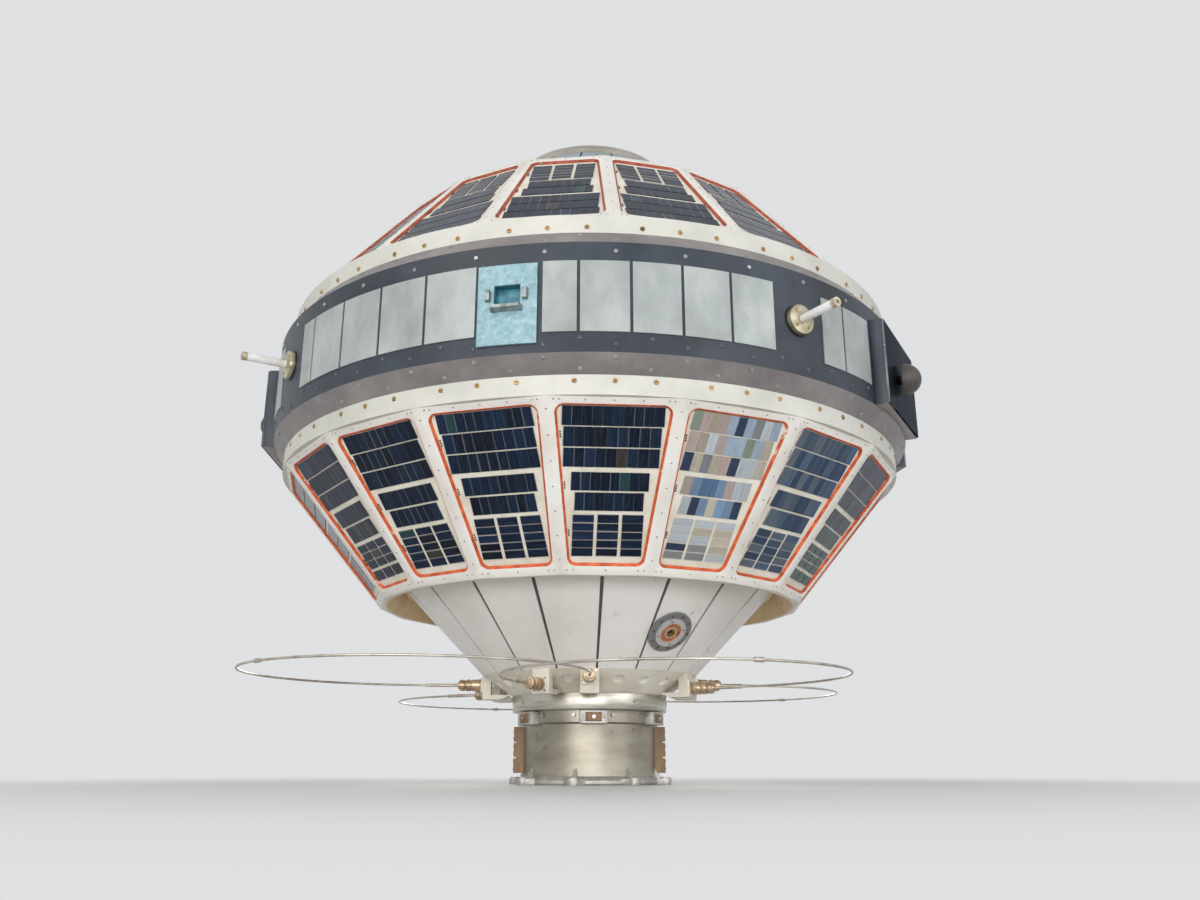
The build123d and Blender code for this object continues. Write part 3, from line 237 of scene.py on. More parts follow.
# Looks that several finishes share. Tones are dark, middle and light.
headLook = dict(scale=140, grain=900)
rivetLook = dict(scale=160, grain=900)
sealLook = dict(
    scale=130, stainScale=24, stainFrom=0.64, stainEdge=0.03, rough=(0.45, 0.65), grain=380, bump=0.6)
paintLook = dict(scale=14, stainScale=48, stainFrom=0.69, stainEdge=0.06, rough=(0.42, 0.58), grain=380)
slateLook = dict(
    tones=((0.12, 0.145, 0.175), (0.165, 0.195, 0.235), (0.23, 0.26, 0.3)), scale=15, rough=(0.36, 0.52),
    grain=420, bump=0.14)
finishLooks = {
    "castAluminium": dict(
        tones=((0.6, 0.59, 0.57), (0.72, 0.71, 0.69), (0.8, 0.79, 0.77)), scale=60, stain=(0.42, 0.38, 0.33),
        stainScale=90, stainFrom=0.64, rough=(0.42, 0.62), metal=0.75, grain=700, bump=0.25),
    "bareAluminium": dict(
        tones=((0.5, 0.475, 0.43), (0.62, 0.595, 0.54), (0.71, 0.69, 0.635)), scale=9, stretch=(1, 1, 2.5),
        stain=(0.45, 0.4, 0.34), stainScale=34, stainFrom=0.61, stainEdge=0.12, rough=(0.34, 0.5), metal=0.85,
        grain=260),
    "brightAluminium": dict(
        tones=((0.63, 0.61, 0.565), (0.73, 0.71, 0.665), (0.8, 0.785, 0.745)), scale=25, stretch=(1, 1, 9),
        rough=(0.26, 0.4), metal=0.95, grain=220, bump=0.08),
    "platedMetal": dict(
        tones=((0.66, 0.64, 0.58), (0.76, 0.74, 0.69), (0.84, 0.82, 0.78)), scale=80, rough=(0.25, 0.4),
        metal=0.9, grain=500),
    "phenolic": dict(
        tones=((0.36, 0.26, 0.15), (0.5, 0.375, 0.22), (0.61, 0.48, 0.31)), scale=45, stretch=(1, 1, 0.35),
        rough=(0.38, 0.55), grain=240, bump=0.15),
    "creamPaint": dict(
        tones=((0.79, 0.76, 0.69), (0.87, 0.845, 0.785), (0.91, 0.89, 0.84)), scale=22,
        stain=(0.56, 0.48, 0.36), stainScale=60, stainFrom=0.66, rough=(0.45, 0.6), grain=420, bump=0.12),
    "bronze": dict(
        tones=((0.56, 0.46, 0.37), (0.74, 0.64, 0.53), (0.85, 0.78, 0.69)), scale=90, rough=(0.28, 0.42),
        metal=0.85, grain=600, bump=0.12),
    "wire": dict(
        tones=((0.6, 0.56, 0.51), (0.75, 0.72, 0.67), (0.86, 0.84, 0.8)), scale=40, rough=(0.3, 0.45),
        metal=0.8, grain=300, bump=0.05),
    "darkSeam": dict(
        tones=((0.26, 0.25, 0.255), (0.34, 0.33, 0.335), (0.41, 0.4, 0.405)), scale=30, rough=(0.6, 0.8),
        grain=300),
    "paleSkin": dict(
        tones=((0.84, 0.82, 0.795), (0.9, 0.885, 0.865), (0.93, 0.92, 0.91)), scale=7, stain=(0.63, 0.6, 0.56),
        stainScale=26, stainFrom=0.63, stainEdge=0.12, rough=(0.36, 0.52), metal=0.12, grain=180, bump=0.06),
    # Upper cone skins and top plate: grey-blue paint, made darker as painted shade.
    "greySkinAndShade": dict(
        tones=((0.5, 0.55, 0.58), (0.59, 0.64, 0.67), (0.68, 0.73, 0.755)), scale=8, stain=(0.42, 0.45, 0.47),
        stainScale=26, stainFrom=0.64, stainEdge=0.1, rough=(0.3, 0.46), metal=0.25, grain=180, bump=0.06),
    "goldPlate": dict(
        tones=((0.56, 0.53, 0.44), (0.71, 0.68, 0.57), (0.84, 0.81, 0.72)), scale=70, rough=(0.28, 0.44),
        metal=0.8, grain=400),
    "oliveMetal": dict(
        tones=((0.36, 0.36, 0.33), (0.51, 0.53, 0.51), (0.66, 0.7, 0.7)), scale=120, rough=(0.3, 0.45),
        metal=0.6, grain=400),
    "paintedRivet": dict(
        **rivetLook, tones=((0.44, 0.41, 0.37), (0.6, 0.57, 0.53), (0.74, 0.72, 0.69)), rough=(0.4, 0.55),
        metal=0.3),
    "greyRivet": dict(
        **rivetLook, tones=((0.42, 0.41, 0.41), (0.52, 0.51, 0.51), (0.62, 0.61, 0.6)), rough=(0.3, 0.42)),
    "slateRivet": dict(
        **rivetLook, tones=((0.19, 0.21, 0.24), (0.26, 0.29, 0.32), (0.34, 0.37, 0.4)), rough=(0.3, 0.42)),
    "tealLining": dict(
        tones=((0.12, 0.34, 0.4), (0.17, 0.43, 0.49), (0.32, 0.6, 0.65)), scale=120, rough=(0.25, 0.4),
        grain=300, bump=0.4),
    "copper": dict(
        tones=((0.56, 0.31, 0.19), (0.77, 0.48, 0.31), (0.88, 0.62, 0.44)), scale=110, rough=(0.25, 0.42),
        metal=0.8, grain=500),
    "tanLaminate": dict(
        tones=((0.76, 0.64, 0.45), (0.86, 0.75, 0.56), (0.91, 0.82, 0.66)), scale=18, stain=(0.62, 0.49, 0.31),
        stainScale=70, stainFrom=0.6, rough=(0.42, 0.58), grain=320),
    "whitePaint": dict(
        **paintLook, tones=((0.84, 0.82, 0.78), (0.9, 0.88, 0.85), (0.93, 0.92, 0.9)), stain=(0.7, 0.6, 0.5)),
    # Flange rings: a greyer paint than the frames' white, darkened in part as painted shade.
    "ringPaintAndShade": dict(
        **paintLook, tones=((0.75, 0.745, 0.71), (0.81, 0.803, 0.768), (0.85, 0.843, 0.81)),
        stain=(0.66, 0.6, 0.5)),
    "creamBoard": dict(
        tones=((0.82, 0.79, 0.71), (0.885, 0.86, 0.8), (0.92, 0.9, 0.85)), scale=40, stain=(0.62, 0.54, 0.4),
        stainScale=110, stainFrom=0.66, rough=(0.5, 0.65), grain=500, bump=0.12),
    "orangeSealant": dict(
        **sealLook, tones=((0.58, 0.2, 0.08), (0.8, 0.33, 0.13), (0.9, 0.46, 0.25)), stain=(0.86, 0.8, 0.73)),
    # Upper seals: the orange sealant in darker, browner tones.
    "darkerSealant": dict(
        **sealLook, tones=((0.46, 0.2, 0.12), (0.63, 0.29, 0.18), (0.73, 0.38, 0.26)),
        stain=(0.8, 0.74, 0.68)),
    "brownGreyPaint": dict(
        tones=((0.4, 0.38, 0.375), (0.485, 0.46, 0.455), (0.56, 0.54, 0.53)), scale=16,
        stain=(0.62, 0.58, 0.54), stainScale=75, stainFrom=0.7, stainEdge=0.05, rough=(0.36, 0.5), grain=420,
        bump=0.14),
    "slatePaint": dict(**slateLook, stain=(0.42, 0.42, 0.42), stainScale=85, stainFrom=0.7, stainEdge=0.05),
    "boxPaint": dict(**slateLook, under=(0.53, 0.5, 0.485)),
    "palePlate": dict(
        tones=((0.56, 0.58, 0.57), (0.635, 0.66, 0.655), (0.71, 0.73, 0.72)), scale=26, stretch=(1, 1, 0.6),
        stain=(0.56, 0.54, 0.46), stainScale=40, stainFrom=0.62, stainEdge=0.16, rough=(0.32, 0.48),
        metal=0.15, grain=320, bump=0.08),
    "bluePaint": dict(
        tones=((0.46, 0.595, 0.64), (0.55, 0.685, 0.72), (0.65, 0.765, 0.79)), scale=170, rough=(0.28, 0.42),
        grain=300, bump=0.9),
    "whiteRod": dict(
        tones=((0.8, 0.79, 0.77), (0.9, 0.89, 0.88), (0.94, 0.93, 0.92)), scale=50, rough=(0.35, 0.5),
        grain=500, bump=0.08),
    "domePaint": dict(
        tones=((0.22, 0.2, 0.19), (0.29, 0.265, 0.25), (0.37, 0.34, 0.32)), scale=70, rough=(0.38, 0.54),
        grain=600, bump=0.2),
    "gasketBlack": dict(
        tones=((0.035, 0.035, 0.04), (0.06, 0.06, 0.065), (0.1, 0.1, 0.11)), scale=70, rough=(0.34, 0.5),
        grain=600, bump=0.2),
    "capMetal": dict(
        tones=((0.62, 0.55, 0.45), (0.77, 0.71, 0.61), (0.86, 0.81, 0.73)), scale=110, rough=(0.35, 0.5),
        metal=0.5, grain=600),
    "brassScrew": dict(
        **headLook, tones=((0.5, 0.4, 0.24), (0.7, 0.58, 0.38), (0.84, 0.74, 0.54)), rough=(0.28, 0.42),
        metal=0.85),
    "steelScrew": dict(
        **headLook, tones=((0.48, 0.47, 0.46), (0.66, 0.65, 0.64), (0.8, 0.8, 0.79)), rough=(0.28, 0.42),
        metal=0.85),
    "brownScrew": dict(
        **headLook, tones=((0.3, 0.21, 0.13), (0.46, 0.33, 0.21), (0.6, 0.46, 0.32)), rough=(0.35, 0.5),
        metal=0.6),
    "apertureDark": dict(
        tones=((0.1, 0.1, 0.11), (0.16, 0.16, 0.17), (0.24, 0.24, 0.25)), scale=120, rough=(0.3, 0.5),
        metal=0.4, grain=600),
}
finishes = {name: agedFinish(name, look) for name, look in finishLooks.items()}


# Scratched mirror: dark polished metal, long fine scratches, dull clouds and tan flecks.
# A noise has its scale, detail and roughness.
mirrorLook = dict(
    tones=((0.30, (0.24, 0.25, 0.27)), (0.52, (0.33, 0.34, 0.36)), (0.72, (0.44, 0.45, 0.46))),
    cloud=(22.0, 7.0, 0.65), scratch=(1.0, 3.0, 0.5), scratchStretch=(60, 60, 900), hair=(0.66, 0.74, 0.7),
    hairTone=(0.62, 0.60, 0.57), fleck=(210.0, 3.0, 0.6), fleckStretch=(1, 1, 0.35),
    spots=(0.66, 0.70), spotTone=(0.66, 0.56, 0.40), rough=(0.10, 0.38),
    metal=1.0, glint=(0.55, 0.56, 0.58), bump=0.03, bumpDepth=0.0003,
)


def mirrorFinish(look):
    material, tree, shader = startMaterial("mirror")
    cloud = noiseFactor(tree, placeVector(tree), *look["cloud"])
    scratch = noiseFactor(tree, placeVector(tree, look["scratchStretch"]), *look["scratch"])
    fleck = noiseFactor(tree, placeVector(tree, look["fleckStretch"]), *look["fleck"])
    colour = rampColour(tree, cloud, shades(look["tones"]))
    colour = blendColour(tree, maskColour(tree, scratch, *look["hair"]), colour, tone(*look["hairTone"]))
    colour = blendColour(tree, maskColour(tree, fleck, *look["spots"]), colour, tone(*look["spotTone"]))
    shader.inputs["Specular Tint"].default_value = tone(*look["glint"])
    dressShader(tree, shader, look, colour, cloud, scratch)
    return material


# Cells: dark silicon tinted cell by cell, streaked along the cell, with a bright line at some edges. On the
# panels given a painted glint, the cells blend streak by streak towards painted reflection tones.
cellLook = dict(
    silicon=((0.00, (0.04, 0.055, 0.08)), (0.30, (0.055, 0.085, 0.14)), (0.55, (0.07, 0.12, 0.20)),
             (0.70, (0.09, 0.15, 0.24)), (0.80, (0.15, 0.13, 0.24)), (0.90, (0.13, 0.24, 0.25)),
             (1.00, (0.22, 0.19, 0.16))),
    # The next ramp holds the painted reflection tones of the cells that have a painted glint.
    paintedGlintTones=((0.00, (0.50, 0.60, 0.71)), (0.10, (0.66, 0.73, 0.80)), (0.22, (0.57, 0.58, 0.58)),
           (0.32, (0.38, 0.49, 0.63)), (0.42, (0.78, 0.81, 0.83)), (0.52, (0.72, 0.67, 0.60)),
           (0.60, (0.54, 0.66, 0.79)), (0.70, (0.81, 0.77, 0.69)), (0.78, (0.20, 0.25, 0.34)),
           (0.85, (0.57, 0.61, 0.55)), (0.92, (0.74, 0.66, 0.64))),
    streak=(1.6, 4.0, 0.7), streakStretch=(7.0, 0.5, 1.0), streakApart=317.0, level=(0.15, 1.55),
    paler=(0.50, 0.78, 0.30), palerTone=(0.33, 0.43, 0.53), rim=(0.43, 0.465), rimLevel=(0.4, 1.4),
    rimTone=(0.84, 0.81, 0.79), cloud=(150.0, 6.0, 0.65), rough=(0.10, 0.26), metal=0.0,
    specular=0.14, bump=0.04, bumpDepth=0.0003,
)


def cellFinish(look):
    material, tree, shader = startMaterial("solarCell")
    tint, paintedGlint, edge = (faceValue(tree, name) for name in ("cellTint", "cellPaintedGlint", "cellEdge"))
    silicon = rampColour(tree, tint, shades(look["silicon"]))
    paintedGlintTones = rampColour(tree, tint, shades(look["paintedGlintTones"]), "CONSTANT")
    source = tree.nodes.new("ShaderNodeTexCoord")
    stretch = tree.nodes.new("ShaderNodeMapping")
    stretch.inputs["Scale"].default_value = look["streakStretch"]
    tree.links.new(source.outputs["UV"], stretch.inputs["Vector"])
    apart = tree.nodes.new("ShaderNodeVectorMath")
    apart.operation = "ADD"
    tree.links.new(stretch.outputs["Vector"], apart.inputs[0])
    tree.links.new(reckon(tree, "MULTIPLY", tint, look["streakApart"]), apart.inputs[1])
    streak = noiseFactor(tree, apart.outputs["Vector"], *look["streak"])
    cloud = noiseFactor(tree, placeVector(tree), *look["cloud"])
    # Painted reflection: each cell blends along its streaks from silicon to its reflection tone, as far as its
    # painted glint reaches.
    level = reckon(tree, "MULTIPLY", spread(tree, streak, *look["level"]), paintedGlint)
    colour = blendColour(tree, level, silicon, paintedGlintTones)
    colour = blendColour(tree, maskColour(tree, streak, *look["paler"]), colour, tone(*look["palerTone"]))
    split = tree.nodes.new("ShaderNodeSeparateXYZ")
    tree.links.new(source.outputs["UV"], split.inputs["Vector"])
    across = reckon(tree, "ABSOLUTE", reckon(tree, "SUBTRACT", split.outputs["X"], 0.5), 0.0)
    rim = reckon(tree, "MULTIPLY", maskColour(tree, across, *look["rim"]), edge)
    lined = reckon(tree, "MULTIPLY", rim, spread(tree, streak, *look["rimLevel"]))
    colour = blendColour(tree, lined, colour, tone(*look["rimTone"]))
    shader.inputs["Specular IOR Level"].default_value = look["specular"]
    dressShader(tree, shader, look, colour, cloud, cloud)
    return material


# Detectors: azimuth and radius of each on its cone, then the rings of colour from the middle outwards.
eyes = {"lower": (32.0, 0.158), "upper": (3.5, 0.160)}
eyeLook = dict(
    reach=0.03, cloud=(120.0, 5.0, 0.6), dust=(0.0, 0.35), dustTone=(0.50, 0.47, 0.43),
    bump=0.08, bumpDepth=0.0004,
)
eyeRings = {
    "Flange": dict(
        rings=((0.0, (0.80, 0.80, 0.80)), (0.0177, (0.50, 0.51, 0.53))), metal=0.45, rough=(0.3, 0.5)),
    "Core": dict(
        rings=((0.0, (0.07, 0.06, 0.05)), (0.0027, (0.74, 0.56, 0.26)), (0.0038, (0.26, 0.17, 0.09)),
               (0.0050, (0.66, 0.50, 0.28)), (0.0062, (0.78, 0.76, 0.72))), metal=0.6, rough=(0.25, 0.45)),
}


# Turned rings: colours by distance from one point, with a soft cloud over them.
def ringedFinish(name, centre, look):
    material, tree, shader = startMaterial(name)
    share = reckon(tree, "MULTIPLY", distanceFrom(tree, centre), 1 / look["reach"])
    stops = [(radius / look["reach"], colour) for radius, colour in look["rings"]]
    turned = rampColour(tree, share, shades(stops), "CONSTANT")
    cloud = noiseFactor(tree, placeVector(tree), *look["cloud"])
    dusty = blendColour(tree, spread(tree, cloud, *look["dust"]), turned, tone(*look["dustTone"]))
    dressShader(tree, shader, look, dusty, cloud, cloud)
    return material


eyePlaces = {endName: conePlace(side, *eyes[endName]) for endName, (side, turn) in ends.items()}
for endName, place in eyePlaces.items():
    for ringName, look in eyeRings.items():
        name = endName + "Eye" + ringName
        finishes[name] = ringedFinish(name, place.translation, {**eyeLook, **look})
finishes["mirror"] = mirrorFinish(mirrorLook)
finishes["solarCell"] = cellFinish(cellLook)
print("finishes made", len(finishes))


def bothEnds(name):
    return "lower_" + name, "upper_" + name


# CAD nodes by finish.
finishNodes = {
    "castAluminium": ("adapter_rim", "latch_saddles"),
    "bareAluminium": ("adapter_tube", "adapter_neck", "adapter_bulkhead"),
    "brightAluminium": ("adapter_collar", "top_rim"),
    "phenolic": ("latch_blocks", "terminal_strip_left", "terminal_strip_right"),
    "platedMetal": ("inner_plug",),
    "bronze": ("inner_socket", "antenna_feeds"),
    "creamPaint": ("antenna_ring", "antenna_bases"),
    "wire": ("antenna_loop_left", "antenna_loop_right", "antenna_loop_front", "antenna_loop_rear"),
    "darkSeam": (*bothEnds("cone_core"), "instrument_column"),
    "paleSkin": ("lower_cone_skins",),
    "greySkinAndShade": ("upper_cone_skins", "top_plate"),
    "lowerEyeFlange": ("lower_detector_flange",),
    "upperEyeFlange": ("upper_detector_flange",),
    "copper": bothEnds("detector_ring"),
    "lowerEyeCore": ("lower_detector_core",),
    "upperEyeCore": ("upper_detector_core",),
    "tanLaminate": bothEnds("edge_ring"),
    "whitePaint": bothEnds("frame"),
    "creamBoard": bothEnds("boards"),
    "orangeSealant": ("lower_seals",),
    "darkerSealant": ("upper_seals",),
    "solarCell": bothEnds("cells"),
    "ringPaintAndShade": bothEnds("flange_ring"),
    "brownGreyPaint": bothEnds("chamfer_ring"),
    "slatePaint": ("band_drum",),
    "palePlate": ("band_plates",),
    "bluePaint": ("sensor_plate",),
    "goldPlate": ("rod_bases",),
    "whiteRod": ("rods", "band_wedge"),
    "capMetal": ("rod_caps",),
    "oliveMetal": ("sensor_hood",),
    "boxPaint": ("sensor_boxes",),
    "mirror": ("sensor_mirrors",),
    "domePaint": ("sensor_domes",),
}
nodeFinish = {node: finish for finish, nodes in finishNodes.items() for node in nodes}
for name, node in cadNodes.items():
    node.data.materials.clear()
    node.data.materials.append(finishes[nodeFinish[name]])


def meshFrom(name, shape):
    mesh = bpy.data.meshes.new(name)
    shape.to_mesh(mesh)
    shape.free()
    return mesh


def addObject(name, data):
    item = bpy.data.objects.new(name, data)
    bpy.context.scene.collection.objects.link(item)
    return item


def finishPiece(name, shape, finish, sharp=35.0):
    mesh = meshFrom(name, shape)
    piece = addObject(name, mesh)
    mesh.materials.append(finishes[finish])
    mesh.polygons.foreach_set("use_smooth", [True] * len(mesh.polygons))
    mesh.set_sharp_from_angle(angle=radians(sharp))
    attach(piece, "root")
    return piece


# Angles in degrees, the merging distance in metres.
easing = dict(
    sharpFrom=25.0, flatWithin=0.4, mergeWithin=0.000002, undersideFrom=-0.5, shadeFrom=30.0,
)


# A CAD node with its sharp edges eased: the copy is merged, its flat faces joined, then bevelled.
def easeNode(nodeName, pieceName, width, segments=2, wanted=None):
    shape = bmesh.new()
    shape.from_mesh(cadNodes[nodeName].data)
    bmesh.ops.remove_doubles(shape, verts=shape.verts, dist=easing["mergeWithin"])
    bmesh.ops.dissolve_limit(
        shape, angle_limit=radians(easing["flatWithin"]), verts=shape.verts, edges=shape.edges,
    )
    sharpEdges = [
        edge for edge in shape.edges
        if len(edge.link_faces) == 2 and edge.calc_face_angle(0.0) > radians(easing["sharpFrom"])
        and (wanted is None or wanted(edge))
    ]
    bmesh.ops.bevel(
        shape, geom=sharpEdges, offset=width, offset_type="OFFSET", affect="EDGES", segments=segments,
        profile=0.5, material=-1, clamp_overlap=True,
    )
    shape.normal_update()
    underside = shape.faces.layers.float.new("underside")
    for face in shape.faces:
        face[underside] = 1.0 if face.normal.z < easing["undersideFrom"] else 0.0
    piece = finishPiece(pieceName, shape, nodeFinish[nodeName], easing["shadeFrom"])
    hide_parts(nodeName)


# Nodes to ease, each with its piece and the width of the softened edge.
easedNodes = {
    "adapter_rim": ("adapterRim", 0.0005), "latch_saddles": ("latchSaddles", 0.0006),
    "latch_blocks": ("latchBlocks", 0.0006), "antenna_bases": ("antennaBases", 0.0006),
    "antenna_feeds": ("antennaFeeds", 0.0005), "sensor_boxes": ("sensorBoxes", 0.0006),
    "rods": ("rodBodies", 0.0009), "rod_bases": ("rodBases", 0.0010),
    "band_wedge": ("bandWedge", 0.0008), "sensor_plate": ("sensorPlate", 0.0004),
    "adapter_collar": ("adapterCollar", 0.0008), "lower_frame": ("lowerFrame", 0.0005),
    "upper_frame": ("upperFrame", 0.0005),
}
for nodeName, (pieceName, width) in easedNodes.items():
    easeNode(nodeName, pieceName, width)
print("eased nodes", len(easedNodes))

# Seal beads slope from the window's wall down to the board.
sealBead = dict(slope=0.0019, flatFrom=0.9)


# Picks the top edges of a seal that lie towards the middle of its window.
def innerRim(side, turn):
    windows = [facetPlace(side, azimuth).inverted() for azimuth in around(body["sides"], turn)]

    def picked(edge):
        middle = (edge.verts[0].co + edge.verts[1].co) / 2
        azimuth = degrees(atan2(middle.x, -middle.y))
        window = windows[round((azimuth - turn) / facetStep) % body["sides"]]
        inPlane = window @ middle
        wall, top = sorted((window.to_3x3() @ face.normal for face in edge.link_faces), key=lambda out: out.z)
        return top.z > sealBead["flatFrom"] and wall.x * inPlane.x + wall.y * inPlane.y < 0

    return picked


for endName, (side, turn) in ends.items():
    easeNode(endName + "_seals", endName + "Seals", sealBead["slope"], 1, innerRim(side, turn))
print("seals sloped")


# Small repeated shapes: one template, copied to each place in one mesh.
def scatterPiece(name, template, places, finish):
    shape = bmesh.new()
    for place in places:
        before = len(shape.verts)
        shape.from_mesh(template)
        shape.verts.ensure_lookup_table()
        bmesh.ops.transform(shape, matrix=place, verts=shape.verts[before:])
    finishPiece(name, shape, finish)


def templateMesh(name, shape):
    bmesh.ops.recalc_face_normals(shape, faces=shape.faces)
    return meshFrom(name, shape)


headRoot = 0.3  # depth of a unit head below the surface it sits on


# Plain post of unit radius, from its root to the height given.
def addPost(shape, height, segments):
    bmesh.ops.create_cone(
        shape, cap_ends=True, segments=segments, radius1=1.0, radius2=1.0, depth=height + headRoot,
        matrix=shift(0, 0, (height - headRoot) / 2),
    )


# Slotted screw head of unit radius: a disc with two half discs on it.
def screwTemplate(name, height, slotWidth=0.24, slotDepth=0.45, segments=14, topRadius=0.84):
    shape = bmesh.new()
    low = height * (1 - slotDepth)
    addPost(shape, low, segments)
    for side in (-1, 1):
        half = bmesh.new()
        bmesh.ops.create_cone(
            half, cap_ends=True, segments=segments, radius1=1.0, radius2=topRadius, depth=height - low,
            matrix=shift(0, 0, (height + low) / 2),
        )
        cut = bmesh.ops.bisect_plane(
            half, geom=half.verts[:] + half.edges[:] + half.faces[:], clear_outer=True,
            plane_co=(0, side * slotWidth / 2, 0), plane_no=(0, -side, 0),
        )
        bmesh.ops.contextual_create(
            half, geom=[item for item in cut["geom_cut"] if isinstance(item, bmesh.types.BMEdge)],
        )
        mesh = meshFrom("halfHead", half)
        shape.from_mesh(mesh)
        bpy.data.meshes.remove(mesh)
    return templateMesh(name, shape)


# Low dome of unit radius.
def rivetTemplate(name, height):
    shape = bmesh.new()
    bmesh.ops.create_uvsphere(shape, u_segments=8, v_segments=6, radius=1.0)
    lower = [vert for vert in shape.verts if vert.co.z < -headRoot]
    bmesh.ops.delete(shape, geom=lower, context="VERTS")
    bmesh.ops.holes_fill(shape, edges=shape.edges, sides=0)
    bmesh.ops.scale(shape, vec=(1, 1, height), verts=shape.verts)
    return templateMesh(name, shape)


def nutTemplate(name, height):
    shape = bmesh.new()
    addPost(shape, height, 6)
    return templateMesh(name, shape)


flatScrew = screwTemplate("flatScrew", height=0.45)
cheeseScrew = screwTemplate("cheeseScrew", height=0.95, slotWidth=0.22, slotDepth=0.4)
domeRivet = rivetTemplate("domeRivet", height=0.5)
hexNut = nutTemplate("hexNut", height=0.8)
rng = random.Random(41)  # one fixed seed


def sized(place, radius, turned=True):
    spin = spinAbout(rng.uniform(0, 180)) if turned else Matrix.Identity(4)
    return place @ spin @ Matrix.Diagonal((radius, radius, radius, 1))


# Solar cells: one thin slab a cell, rows first, then the three columns at the narrow end. Sizes in mm.
# A row has its start, depth, width and count, a column its start, length and count.
cells = dict(
    rows=((3.0, 18.8, 94.0, 10), (23.2, 19.2, 90.0, 9), (44.0, 18.6, 89.0, 9), (68.0, 18.4, 73.0, 8),
          (88.6, 18.4, 65.0, 7)),
    long=((111.0, 44.4, 5),), split=((111.0, 29.6, 3), (143.0, 12.4, 1)),
    columnWidth=20.0, columnPitch=23.4, gap=0.14, lyingGap=0.45, top=-2.0, thick=0.7,
    splitPanels=(3, 9, 15), margin=7.0, tilt=0.5, shadeFrom=20.0,
)
# Places on the tint ramps, how strongly the pale line at a cell's edge shows, and the painted glint by panel:
# a painted reflection of a lamp on lower panel 1, a fainter painted sheen on panels 2 and 3.
tints = dict(
    paintedGlint={"lower": {1: 0.95, 2: 0.30, 3: 0.06}, "upper": {}},
    middle=0.45, spread=0.13, most=0.72, oddShare=0.05, odd=(0.05, 0.90, 1.0),
    lines=(0.02, 0.03, 0.05, 0.20), lyingLines=(0.10, 0.25, 0.45, 0.75),
    strongGlintFrom=0.5, strongGlintLyingTints=(0.25, 0.45, 0.48, 0.72, 0.80),
    strongGlintLine=0.10, strongGlintLyingLine=0.85,
    faintGlintFrom=0.1, faintGlintTints=(0.04, 0.15, 0.35, 0.38, 0.64), glow=(0.8, 1.0),
    # Painted sheen on lower panel 3: purple cells towards one end, green cells towards the other.
    purplePanel=3, purpleUntil=0.2, purple=0.80, greenFrom=0.5, green=0.90,
)
slopeMm = slopeLength / mm


def cellTemplate():
    shape = bmesh.new()
    bmesh.ops.create_cube(shape, size=1.0, matrix=shift(0, 0, -0.5))
    layer = shape.loops.layers.uv.new("cellUv")
    for face in shape.faces:
        for loop in face.loops:
            loop[layer].uv = (loop.vert.co.x + 0.5, loop.vert.co.y + 0.5)
    return templateMesh("cellSlab", shape)


def cellBoxes(panel):
    start = cells["margin"] - slopeMm / 2
    boxes = []
    for distance, depth, width, count in cells["rows"]:
        pitch = width / count
        for k in range(count):
            boxes.append((
                (k + 0.5) * pitch - width / 2, start + distance + depth / 2,
                pitch - cells["gap"], depth, False,
            ))
    columns = cells["split" if panel in cells["splitPanels"] else "long"]
    for distance, length, count in columns:
        pitch = length / count
        for column in (-1, 0, 1):
            for k in range(count):
                boxes.append((
                    column * cells["columnPitch"], start + distance + (k + 0.5) * pitch,
                    cells["columnWidth"], pitch - cells["lyingGap"], True,
                ))
    return boxes


def makeCells(endName, side, turn, slab):
    shape = bmesh.new()
    tintLayer = shape.faces.layers.float.new("cellTint")
    paintedGlintLayer = shape.faces.layers.float.new("cellPaintedGlint")
    edgeLayer = shape.faces.layers.float.new("cellEdge")
    for panel, azimuth in enumerate(around(body["sides"], turn)):
        place = facetPlace(side, azimuth)
        paintedGlint = tints["paintedGlint"][endName].get(panel, 0.0)
        for x, y, width, depth, lying in cellBoxes(panel):
            before, facesBefore = len(shape.verts), len(shape.faces)
            shape.from_mesh(slab)
            shape.verts.ensure_lookup_table()
            shape.faces.ensure_lookup_table()
            local = shift(x * mm, side * y * mm, cells["top"] * mm)
            size = (width * mm, depth * mm, cells["thick"] * mm, 1)
            if lying:
                local = local @ spinAbout(90)
                size = (depth * mm, width * mm, cells["thick"] * mm, 1)
            tip = Matrix.Rotation(radians(rng.gauss(0, cells["tilt"])), 4, "Y")
            bmesh.ops.transform(
                shape, matrix=place @ local @ tip @ Matrix.Diagonal(size), verts=shape.verts[before:],
            )
            value = min(max(rng.gauss(tints["middle"], tints["spread"]), 0.0), tints["most"])
            if rng.random() < tints["oddShare"]:
                value = rng.choice(tints["odd"])
            line = rng.choice(tints["lyingLines" if lying else "lines"])
            if paintedGlint > tints["strongGlintFrom"]:  # the panel painted with a lamp's reflection, its cells in painted reflection tones
                value = rng.choice(tints["strongGlintLyingTints"]) if lying else rng.random()
                line = tints["strongGlintLyingLine" if lying else "strongGlintLine"]
            # a fainter painted sheen: tints from a narrower set
            elif paintedGlint > tints["faintGlintFrom"]:
                value = rng.choice(tints["faintGlintTints"])
            # painted sheen on lower panel 3: purple towards one end, green towards the other
            if endName == "lower" and panel == tints["purplePanel"]:
                along = y / slopeMm + 0.5
                if along < tints["purpleUntil"]:
                    value = tints["purple"]
                elif along > tints["greenFrom"]:
                    value = tints["green"]
            # how far each cell blends towards its painted reflection tone
            glow = paintedGlint * rng.uniform(*tints["glow"])
            for face in shape.faces[facesBefore:]:
                face[tintLayer] = value
                face[paintedGlintLayer] = glow
                face[edgeLayer] = line
    piece = finishPiece(endName + "Cells", shape, "solarCell", cells["shadeFrom"])
    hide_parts(endName + "_cells")


cellSlab = cellTemplate()
for endName, (side, turn) in ends.items():
    makeCells(endName, side, turn, cellSlab)
print("cells made")

